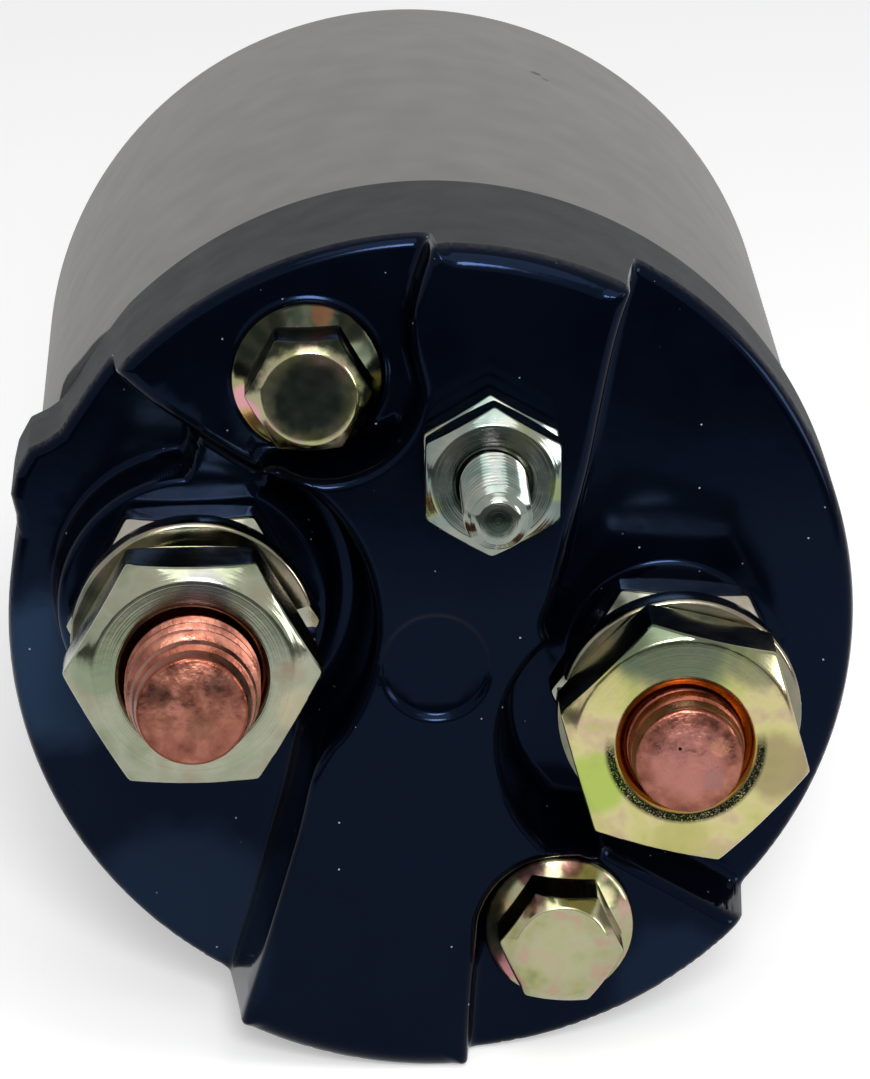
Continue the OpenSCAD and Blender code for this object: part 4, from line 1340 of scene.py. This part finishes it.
class PlacesTree(PieceTree):
    """Geometry Nodes that set a copy of a piece at each point of the object's own mesh."""

    def __init__(self) -> None:
        """Builds the tree."""
        super().__init__("piece at places", {"Copied": "Object"})
        tree, given = self.tree, self.given
        inputs = {"Name": "turn"}
        turn = add_node(tree, "GeometryNodeInputNamedAttribute", inputs, data_type="FLOAT")
        about = add_node(tree, "ShaderNodeCombineXYZ", {"Y": (turn, "Attribute")})
        piece = add_node(tree, "GeometryNodeObjectInfo", {"Object": (given, "Copied")})
        inputs = {"Points": (given, "Points"), "Instance": (piece, "Geometry"), "Rotation": about}
        self.end(add_node(tree, "GeometryNodeInstanceOnPoints", inputs))

    def repeat(
        self, name: str, piece: Object, places: list[Pair], turns: Pair, finish: Finish
    ) -> Object:
        """Sets copies of a piece at places in the cap's plane.

        Args:
            name: the new piece's name.
            piece: what is copied, made about the main axis. It is removed.
            places: x and z of each copy.
            turns: degrees that each copy is turned.
            finish: the copies' finish.

        Returns:
            The copies as one plain mesh.
        """
        obj = new_object(name, [(x, 0, z) for x, z in places], [])
        values = obj.data.attributes.new("turn", "FLOAT", "POINT")
        values.data.foreach_set("value", [-math.radians(t) for t in turns])
        self.run(obj, {"Copied": piece, "Finish": finish.make()})
        bpy.data.objects.remove(piece)
        close_up(obj, 28, merge_mm=0.0005)
        return obj


def coil_path(r: float, low: float, high: float, turns: float, end_pitch: float) -> np.ndarray:
    """Middle line of a spring about the main axis, with closer end turns.

    Args:
        r: mean radius.
        low: height where the middle line starts.
        high: height where it ends.
        turns: number of turns.
        end_pitch: pitch of the first and last turn.

    Returns:
        The line's points in x, z and height.
    """
    t = np.linspace(0, turns, int(turns * 40) + 1)
    open_pitch = (high - low - 2 * end_pitch) / (turns - 2)
    ends = np.minimum(t, 1) + np.maximum(t - (turns - 1), 0)
    height = low + (end_pitch * ends + open_pitch * np.clip(t - 1, 0, turns - 2))
    return np.column_stack((*turn_about((0, 0), r, math.tau * t), height))


def split_ring_path(centre: Pair, r: float, low: float, climb: float, split: float) -> np.ndarray:
    """Middle line of a split lock washer that climbs once round, from its split in degrees."""
    gap = 10
    t = np.linspace(0, 1, 97)
    angle = math.radians(split + gap / 2) + math.radians(360 - gap) * t
    return np.column_stack((*turn_about(centre, r, angle), low + climb * t))


def around(place: Pair, *spots: tuple) -> tuple:
    """Moves patches that are given from a place's own centre."""
    return tuple((place[0] + x, place[1] + z, *rest) for x, z, *rest in spots)


@dataclass(frozen=True)
class HeavySide:
    """What differs between the battery's stud and the motor's.

    Attributes:
        washer: height of the lock washer, which isn't squeezed flat.
        end: height of the stud's end.
        jam_turn: degrees that the jam nut is turned; top_turn is the top nut's, split the washer's.
        hole: bore, countersink and face radius of the top nut.
        tip: radius of the stud's end face and length of the taper to it.
        smears_and_highlights: patches on the stud's end, from its centre: dark smears and lighter
            pink painted highlights.
        top: the top nut's finish.
    """

    name: str
    place: Pair
    washer: float
    end: float
    jam_turn: float
    top_turn: float
    split: float
    hole: tuple[float, float, float]
    tip: Pair
    smears_and_highlights: tuple
    top: TurnedFinish


@dataclass
class Terminals:
    """The three studs with their nuts and lock washers, the two cap screws and the seals."""

    cap: TerminalCap
    pad_height: float = 79.6
    ledge_height: float = 81.3
    heavy_flats: float = 15.88
    small_flats: float = 9.53
    screw_flats: float = 7.94
    jam: float = 5.0
    top: float = 6.35
    small_nut: float = 3.25
    washer_radius: float = 6.9
    wire_width: float = 3.7
    wire_height: float = 2.4

    def build(self, wire: WireTree, places: PlacesTree) -> None:
        """Makes all the terminals' pieces."""
        for side in (self.battery(), self.motor()):
            self.heavy_side(side, wire)
        self.switch()
        self.screws(places)
        self.seals(places)

    def battery(self) -> HeavySide:
        """The left stud: longer, with a washer that stands open."""
        place = self.cap.left_stud
        patches = around(
            place, (1, 6.0, 1.8, "#6E6C72", 0.7), (7.4, -2.5, 1.6, "#A59C82", 0.6),
            (-6.6, 0.6, 1.9, "#76826A", 0.8), (5.8, 2.4, 1.4, "#7C8478", 0.5),
        )
        top = chromate(
            "battery top nut", place, bore_ring=BROWN_BORE, bore_from=4.4, bore_to=5.55,
            patches=patches,
        )
        # Smears on the stud's end; the lighter pink ones are painted highlights
        smears_and_highlights = around(
            place, (-1.2, 0.3, 0.6, "#B4766A", 0.7), (-2.3, 1.2, 0.9, "#5A3C32", 0.6),
            (1.6, 2.1, 0.8, "#5E4238", 0.6), (0.6, -1.2, 0.9, "#6B4A3A", 0.5),
            (2.4, -1.4, 1.1, "#A86C58", 0.3),
        )
        return HeavySide(
            "battery", place, washer=5.2, end=103.699, jam_turn=0.0, top_turn=-1.0, split=10.0,
            hole=(4.5, 0.83, 7.15), tip=(3.85, 3.9), smears_and_highlights=smears_and_highlights, top=top,
        )

    def motor(self) -> HeavySide:
        """The right stud: its nut is gold, with an amber bore and a dark grainy arc below it."""
        place = self.cap.right_stud
        patches = around(
            place, (-0.8, 8.6, 4.6, "#3E5048", 0.85), (5.4, 6.2, 2.2, "#4E5A50", 0.6),
            (-6.4, -2.6, 2.2, "#93A64C", 0.85), (-0.5, -7.2, 2.0, "#A09A60", 0.7),
            (6.4, -1.8, 2.4, "#85775A", 0.75),
        )
        top = chromate(
            "motor top nut", place, GOLD_CHROMATE, bore_ring=AMBER_BORE, bore_from=4.2, bore_to=5.3,
            stain=(4.95, 5.85, 95.0, "#12170F"), ring_height_mm=0.004, patches=patches,
        )
        # On the stud's end, smears and a dark punch mark; its lighter pink cover and lightest spot
        # are partly painted highlights
        smears_and_highlights = around(
            place, (0, 0, 2.6, "#A87068", 0.75), (1.7, -1.4, 0.8, "#8A6460", 0.6),
            (2.2, 1.0, 0.7, "#C58A6C", 0.5), (-0.62, 0.95, 0.13, "#1C0E0C", 1.0),
        )
        return HeavySide(
            "motor", place, washer=3.6, end=97.9, jam_turn=-5.0, top_turn=44.5, split=165.0,
            hole=(4.22, 0.72, 7.85), tip=(3.78, 8.5), smears_and_highlights=smears_and_highlights, top=top,
        )

    def heavy_side(self, side: HeavySide, wire: WireTree) -> None:
        """Makes one heavy stud with its jam nut, lock washer and top nut."""
        name, place = side.name, side.place
        plain = chromate(f"{name} jam nut", place, STEEL_CHROMATE, ring_height_mm=0.0)
        spring = chromate("lock washers", (0.0, 0.0), DARK_CHROMATE, ring_height_mm=0.0)
        HexNut(
            f"{name}_lower_nut", f"{name}_jam_nut", place, self.pad_height, self.jam,
            self.heavy_flats, side.jam_turn, bore=4.6, countersink=0.5, face_radius=7.3, finish=plain,
        ).build()
        first = self.pad_height + self.jam
        HexNut(
            f"{name}_upper_nut", f"{name}_top_nut", place, first + side.washer, self.top,
            self.heavy_flats, side.top_turn, *side.hole, side.top,
        ).build()
        start, climb = first + self.wire_height / 2, side.washer - self.wire_height
        path = split_ring_path(place, self.washer_radius, start, climb, side.split)
        size = (self.wire_width, self.wire_height)
        ring = wire.sweep(f"{name}_spring_washer", path, size, 0.28, spring)
        finish_piece(ring, Body.CAN, f"{name}_lock_washer")
        # Painted shade in the roots of its thread; on its end smears, with painted highlights among
        # them
        copper = TurnedFinish(
            f"cold-headed copper, {name} stud", COPPER_SHADES, patch_mm=1.6, metallic=1.0,
            roughness=(0.22, 0.4), grain_mm=0.35, grain_height_mm=0.03, centre=place, ring_mm=0.5,
            root=(3.85, 4.4, "#6A3626"), patches=side.smears_and_highlights,
        )
        ThreadedStud(
            f"{name}_copper_stud", f"{name}_stud", "copper", place, radius=4.76, pitch=1.5875,
            height_from=66.9, height_to=side.end, thread_from=79.0, tip=side.tip, finish=copper,
            head=(10.0, 3.3), head_turn=-10.8,
        ).build()

    def switch(self) -> None:
        """Makes the switch stud and its two nuts."""
        place = self.cap.switch_stud
        patches = around(
            place, (0, -0.1, 1.0, "#2C3832", 0.85), (-4.6, -1.5, 0.9, "#87905C", 0.6),
            (4.6, -0.5, 0.9, "#87905C", 0.6), (0, 3.2, 0.9, "#6A5A60", 0.5),
        )
        finish = chromate("switch stud", place, SILVER_CHROMATE, ring_mm=0.18, patches=patches)
        for k, (name, node) in enumerate((("lower", "jam"), ("upper", "top"))):
            HexNut(
                f"switch_{name}_nut_plated", f"switch_{node}_nut", place,
                FRONT + k * self.small_nut, self.small_nut, self.small_flats, turn=30.0 - 2 * k,
                bore=2.5, countersink=0.35, face_radius=4.35, finish=finish, edge=0.07,
            ).build()
        ThreadedStud(
            "switch_threaded_stud", "switch_stud", "yellow_zinc", place, radius=2.41, pitch=0.794,
            height_from=68.7, height_to=100.5, thread_from=84.0, tip=(1.5, 0.95), finish=finish,
            head=(2.9, 1.5), round_head=True, columns=48,
        ).build()

    def screw_finish(self) -> TurnedFinish:
        """Chromate of both screws: the upper one's flange dark with coloured spots, all painted
        reflections, and its top dark teal, partly painted reflection; the lower one's face gold.
        """
        # Painted reflection: a dark ring round the upper screw's flange
        painted_flange_reflection = [
            (4.9 * math.cos(a), 4.9 * math.sin(a), 1.25, "#1E231C", 0.96)
            for a in np.radians([-35, -18, 0, 18, 36, 54, 72, 90, 108, 126, 144, 162])
        ]
        # The upper screw: a dark teal top, partly its own duller tint and partly painted reflection;
        # brown, gold and pink spots on its flange, painted reflections
        upper = around(
            self.cap.upper_screw, (0, 0, 2.7, "#303E3C", 0.9), *painted_flange_reflection,
            (1.1, 4.8, 0.8, "#4A2C1A", 0.55), (4.9, -0.4, 0.8, "#5C5020", 0.6),
            (-4.5, -1.2, 1.0, "#C78C96", 0.85), (-4.3, -2.8, 0.9, "#B8905A", 0.8),
            (-2.6, -4.4, 1.0, "#A8A050", 0.7),
        )
        lower = (
            (8.6, -21.0, 2.2, "#A0A080", 0.6), (6.6, -16.6, 1.1, "#4A2A30", 0.85),
            (9.6, -16.1, 0.9, "#6A3A40", 0.8), (12.2, -18.4, 1.0, "#3A4028", 0.8),
            (4.1, -19.0, 1.0, "#B0906A", 0.6), (4.6, -23.8, 1.2, "#A86874", 0.8),
        )
        return chromate(
            "cap screws", (0.0, 0.0), SCREW_CHROMATE, patch_mm=2.2, ring_height_mm=0.0,
            patches=upper + lower,
        )

    def screws(self, places: PlacesTree) -> None:
        """Makes the two hex flange screws."""
        head = HexHead(self.screw_flats, corner_round=0.25)
        angles = head.angles()
        outer = head.radii(angles)
        shank, flange, face, end, top = 2.4, 5.5, 3.35, 54.2, 87.8
        low = self.ledge_height
        edge = low + 0.95
        rim = top - np.maximum(outer - face, 0) * math.tan(math.radians(42))
        cone = edge + 0.4 + (flange - 0.4 - outer) * math.tan(math.radians(28))
        section = [
            (0.0, end), (shank - 0.3, end), (shank, end + 0.4), (shank, low), (flange - 0.2, low),
            (flange, low + 0.15), (flange, edge), (flange - 0.04, edge + 0.14),
            (flange - 0.12, edge + 0.25), (flange - 0.24, edge + 0.33), (flange - 0.4, edge + 0.4),
            (outer + 0.16, cone - 0.07),
            (outer + 0.05, cone), (outer, cone + 0.12), (outer, rim - 0.3), (outer, rim - 0.12),
            (outer - 0.05, rim - 0.02), (outer - 0.14, rim + 0.1), (face + 0.12, top - 0.09),
            (face + 0.03, top - 0.02), (face - 0.08, top), (face - 0.35, top), (0.0, top),
        ]
        screw = lathe("screw", section, angles, None)
        at = [self.cap.upper_screw, self.cap.lower_screw]
        both = places.repeat("cap_hex_screws", screw, at, (0.0, -6.0), self.screw_finish())
        finish_piece(both, Body.CAN, "cap_screws")

    def seals(self, places: PlacesTree) -> None:
        """Makes the rubber seals under the heavy studs' heads."""
        inner, outer, low, high = 4.85, 6.5, 70.2, 71
        profile = rounded(
            [(inner, low, 0.15), (outer, low, 0.3), (outer, high, 0.3), (inner, high, 0.15)]
        )
        at = [self.cap.left_stud, self.cap.right_stud]
        both = places.repeat("stud_rubber_seals", turned("seal", profile), at, (0.0, 0.0), RUBBER)
        finish_piece(both, Body.CAN, "stud_seals")


@dataclass
class Can:
    """The drawn can, the gasket and the mounting plate at its rear."""

    radius: float = 29.9
    bore: float = 27.9
    length: float = 63.7
    lip: float = 1.2
    lip_width: float = 2.4
    gasket_radius: float = 30.05
    plate_radius: float = 27.85
    plate: float = 8.0
    guide_bore: float = 11.45
    seat_radius: float = 14.8
    seat_depth: float = 1.2
    holes: float = 21.0

    def build(self) -> None:
        """Makes the can's pieces."""
        opening, r, bore, length = self.bore - self.lip_width, self.radius, self.bore, self.length
        shell = rounded(
            [(opening, 0, 0.25), (r, 0, 1.1), (r, length, 0.3), (bore, length, 0.2),
             (bore, self.lip, 0.3), (opening, self.lip, 0.25)], 6
        )
        obj = turned("drawn_can", shell, ZINC_CAN, segments=192)
        finish_piece(obj, Body.CAN, "can_shell")
        self.make_gasket()
        self.make_plate()

    def make_gasket(self) -> None:
        """Makes the gasket, which is squeezed out unevenly, most of all at the left."""
        low, high, r = self.length, self.length + 1.0, self.gasket_radius
        section = rounded(
            [(self.bore, low, 0), (r, low, 0.3), (r, high, 0.3), (self.bore, high, 0)]
        )
        obj = turned("cap_rubber_gasket", section, RUBBER, segments=256)
        for vertex in obj.data.vertices:
            r = math.hypot(vertex.co.x, vertex.co.z)
            if r > 29.6 * MM:
                turn = math.atan2(vertex.co.z, vertex.co.x)
                ripple = math.sin(9 * turn) + math.sin(23 * turn + 1) + math.sin(41 * turn + 2.2)
                left = math.exp(-(((math.degrees(turn) - 148) / 9) ** 2))
                share = 1 + (0.05 * ripple + left * (1.25 + 0.12 * ripple)) * MM / r
                vertex.co.x *= share
                vertex.co.z *= share
        finish_piece(obj, Body.CAN, "cap_gasket")

    def make_plate(self) -> None:
        """Makes the mounting plate with its seat for the spring and its tapped holes."""
        inner = self.bore - self.lip_width - 0.05
        behind_lip = self.lip + 0.05
        section = rounded(
            [(self.guide_bore, self.seat_depth, 0.15), (self.seat_radius, self.seat_depth, 0.3),
             (self.seat_radius, 0, 0.3), (inner, 0, 0.3), (inner, behind_lip, 0.1),
             (self.plate_radius, behind_lip, 0.1), (self.plate_radius, self.plate, 0.2),
             (self.guide_bore, self.plate, 0.2)]
        )
        obj = turned("mounting_flange", section, MAGNET_STEEL, segments=160)
        mouth, tapped, deep = 3.3, 2.5, 6.2
        hole = [(0, -2), (mouth, -2), (mouth, 0.0), (tapped, 0.8), (tapped, deep), (0, deep + 1)]
        for k in range(3):
            turn = math.radians(90 + 120 * k)
            place = (self.holes * math.cos(turn), self.holes * math.sin(turn))
            cut(obj, turned("hole", hole, None, place, 48), solver="EXACT")
        close_up(obj, 30)
        finish_piece(obj, Body.CAN, "mounting_plate")


@dataclass
class Plunger:
    """The plunger with its clevis end, its springs and the springs of the contact."""

    radius: float = 10.5
    out: float = 38.0
    shoulder: float = 24.15
    groove: tuple[float, float, float] = (-22.2, -21.2, 0.9)
    slot_root: float = 26.0
    slot_width: float = 7.0
    clevis_width: float = 17.0
    eye: float = 31.5
    eye_radius: float = 4.0
    nose_root: float = 7.0
    nose_tip: float = 4.0
    nose_length: float = 3.0

    def build(self, wire: WireTree) -> None:
        """Makes the plunger and the three coiled springs."""
        self.body()
        path = coil_path(13.2, low=-19.2, high=0.4, turns=5, end_pitch=2.1)
        spring = self.spring(wire, "return_spring_coil", path, 1.6, 0.79)
        finish_piece(spring, Body.CAN, "plunger_return_spring")
        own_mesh(spring)
        path = coil_path(5.3, low=65.8, high=72.4, turns=3, end_pitch=1.0)
        spring = self.spring(wire, "contact_return_coil", path, 0.7, 0.345)
        finish_piece(spring, Body.CAN, "contact_return_spring")
        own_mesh(spring)
        path = coil_path(4.6, low=52.7, high=59.45, turns=4, end_pitch=1.3)
        spring = self.spring(wire, "contact_pressure_coil", path, 1.0, 0.49)
        finish_piece(spring, Body.CONTACT, "contact_pressure_spring")

    def spring(
        self, wire: WireTree, name: str, path: np.ndarray, width: float, corner: float
    ) -> Object:
        """A coil of round wire: a square section of this width, rounded until it is one."""
        return wire.sweep(name, path, (width, width), corner, SPRING_WIRE)

    def body(self) -> None:
        """Makes the plunger itself: the slot between the clevis's cheeks, its flats and its eye."""
        r, low, high = self.radius, -self.out, self.shoulder
        groove_from, groove_to, deep = self.groove
        nose = high + self.nose_length
        section = rounded(
            [(0, low, 0), (r, low, 0.9), (r, groove_from, 0.1), (r - deep, groove_from, 0.1),
             (r - deep, groove_to, 0.1), (r, groove_to, 0.1), (r, high, 0.4),
             (self.nose_root, high, 0.2), (self.nose_tip, nose, 0.4), (0, nose, 0)]
        )
        obj = turned("plunger_clevis", section, TURNED_STEEL, segments=96)
        slot, flat = self.slot_width / 2, self.clevis_width / 2
        for left, right in ((-slot, slot), (flat, flat + 10), (-flat - 10, -flat)):
            tool = block("block", (left, self.slot_root, -20), (right, 50, 20))
            close_up(tool)
            cut(obj, tool, solver="EXACT")
        eye = [(0, -20), (self.eye_radius, -20), (self.eye_radius, 20), (0, 20)]
        pin = turned("pin", eye, segments=64)
        across = Matrix.Rotation(math.radians(90), 4, "Z")
        pin.data.transform(Matrix.Translation((0, self.eye * MM, 0)) @ across)
        cut(obj, pin, solver="EXACT")
        bevel(obj, 0.25, 2)
        close_up(obj, 30)
        finish_piece(obj, Body.PLUNGER, "plunger")


# Studio


@dataclass
class Studio:
    """The floor, the light and the camera.

    Attributes:
        paper_edge: how far in front of the object gloss sees the paper end.
        paper_glow: light that the paper sends to the camera and to gloss.
        room: strength of the world's light, and background what the camera sees of it.
        camera_place: in millimetres, with camera_right and camera_ahead its directions.
    """

    floor_height: float = -31.1
    floor_size: float = 3000.0
    background: float = 1.0
    paper_edge: float = 250.0
    paper_fade: float = 60.0
    paper_glow: float = 0.4
    room: float = 0.25
    lens: float = 219.41
    shift: float = 0.00204
    camera_place: tuple[float, float, float] = (-10.36, -533.61, 145.64)
    camera_right: tuple[float, float, float] = (0.9994, -0.0291, -0.0203)
    camera_ahead: tuple[float, float, float] = (0.022, 0.9567, -0.2902)

    def build(self) -> None:
        """Sets up everything that isn't the object."""
        self.floor()
        self.world()
        self.lamps()
        self.camera()
        bpy.context.scene.view_settings.view_transform = "Standard"

    def seen(self, tree: Tree, path: bpy.types.Node) -> Source:
        """1 for rays of the camera, of transmission and of gloss, else 0."""
        inputs = {0: (path, "Is Camera Ray"), 1: (path, "Is Transmission Ray")}
        seen = add_node(tree, "ShaderNodeMath", inputs, operation="MAXIMUM")
        inputs = {0: seen, 1: (path, "Is Glossy Ray")}
        return add_node(tree, "ShaderNodeMath", inputs, operation="MAXIMUM")

    def floor(self) -> None:
        """A plain pale floor that keeps the object's shadow."""
        size, z = self.floor_size, self.floor_height
        corners = [(-size, -size, z), (size, -size, z), (size, size, z), (-size, size, z)]
        obj = new_object("floor", corners, [(0, 1, 2, 3)])
        material = bpy.data.materials.new("plain pale paper")
        tree = empty_tree(material)
        path = add_node(tree, "ShaderNodeLightPath")
        where = add_node(tree, "ShaderNodeTexCoord"), "Object"
        apart = add_node(tree, "ShaderNodeSeparateXYZ", {"Vector": where})
        # The paper ends some way in front of the object: gloss sees the dim room beyond its edge
        edge, fade = -self.paper_edge * MM, (self.paper_fade - self.paper_edge) * MM
        inputs = {"Value": (apart, "Y"), 1: edge, 2: fade, 3: 0.93, 4: 0.0}
        beyond = add_node(tree, "ShaderNodeMapRange", inputs, interpolation_type="SMOOTHSTEP")
        inputs = {0: beyond, 1: (path, "Is Glossy Ray")}
        dim = add_node(tree, "ShaderNodeMath", inputs, operation="MULTIPLY")
        inputs = {"Factor": dim, 6: linear("#E9E9E9"), 7: linear("#202225")}
        shade = add_node(tree, "ShaderNodeMix", inputs, data_type="RGBA")
        matte = add_node(tree, "ShaderNodeBsdfDiffuse", {"Color": (shade, 2)})
        inputs = {0: dim, 1: -self.paper_glow, 2: 0.0}
        lost = add_node(tree, "ShaderNodeMath", inputs, operation="MULTIPLY_ADD")
        inputs = {0: self.seen(tree, path), 1: self.paper_glow, 2: lost}
        glow = add_node(tree, "ShaderNodeMath", inputs, operation="MULTIPLY_ADD")
        white = add_node(tree, "ShaderNodeEmission", {"Color": (1, 1, 1, 1), "Strength": glow})
        both = add_node(tree, "ShaderNodeAddShader", {0: matte, 1: white})
        add_node(tree, "ShaderNodeOutputMaterial", {"Surface": both})
        obj.data.materials.append(material)

    def world(self) -> None:
        """An even pale room that the camera and gloss see as white."""
        world = bpy.data.worlds.new("pale room")
        bpy.context.scene.world = world
        tree = empty_tree(world)
        seen = self.seen(tree, add_node(tree, "ShaderNodeLightPath"))
        inputs = {"Value": seen, 3: self.room, 4: self.background}
        strength = add_node(tree, "ShaderNodeMapRange", inputs)
        inputs = {"Color": (1, 1, 1, 1), "Strength": strength}
        light = add_node(tree, "ShaderNodeBackground", inputs)
        add_node(tree, "ShaderNodeOutputWorld", {"Surface": light})

    def lamps(self) -> None:
        """A small lamp by the camera, and two soft ones above it and at the right."""
        aim = Vector((0, -0.085, 0))
        for name, place, size, power in (
            ("lamp by the camera", (0.02, -0.66, 0.27), 0.16, 3.1),
            ("soft lamp above", (0.1, -0.75, 0.95), 1.0, 6.4),
            ("soft lamp at the right", (0.72, -0.5, 0.17), 0.36, 3.0),
        ):
            data = bpy.data.lights.new(name, "AREA")
            data.shape, data.size, data.energy = "DISK", size, power
            lamp = bpy.data.objects.new(name, data)
            lamp.location = place
            lamp.rotation_euler = (aim - Vector(place)).to_track_quat("-Z", "Y").to_euler()
            bpy.context.scene.collection.objects.link(lamp)

    def camera(self) -> None:
        """The camera at the photograph's viewing angle."""
        data = bpy.data.cameras.new("photo camera")
        data.sensor_width, data.lens, data.shift_x = 36.0, self.lens, self.shift
        data.clip_start, data.clip_end = 0.02, 20.0
        camera = bpy.data.objects.new("photo camera", data)
        ahead = Vector(self.camera_ahead).normalized()
        up = Vector(self.camera_right).normalized().cross(ahead).normalized()
        turn = Matrix((ahead.cross(up), up, -ahead)).transposed().to_4x4()
        camera.matrix_world = Matrix.Translation(Vector(self.camera_place) * MM) @ turn
        bpy.context.scene.collection.objects.link(camera)
        bpy.context.scene.camera = camera


def dress_kept_nodes() -> None:
    """Gives the CAD nodes that stay their finishes."""
    for name, finish in KEPT_NODES.items():
        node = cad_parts[name]
        node.data.materials.clear()
        node.data.materials.append(finish.make())
        log.info("%s keeps its CAD shape in %s", name, finish.name)


def main() -> None:
    """Builds the sub-assemblies in order."""
    logging.basicConfig(level=logging.INFO, format="%(message)s")
    Studio().build()
    cap = TerminalCap()
    cap.build()
    wire, places = WireTree(), PlacesTree()
    Terminals(cap).build(wire, places)
    Can().build()
    Plunger().build(wire)
    dress_kept_nodes()


if __name__ == "__main__":
    main()
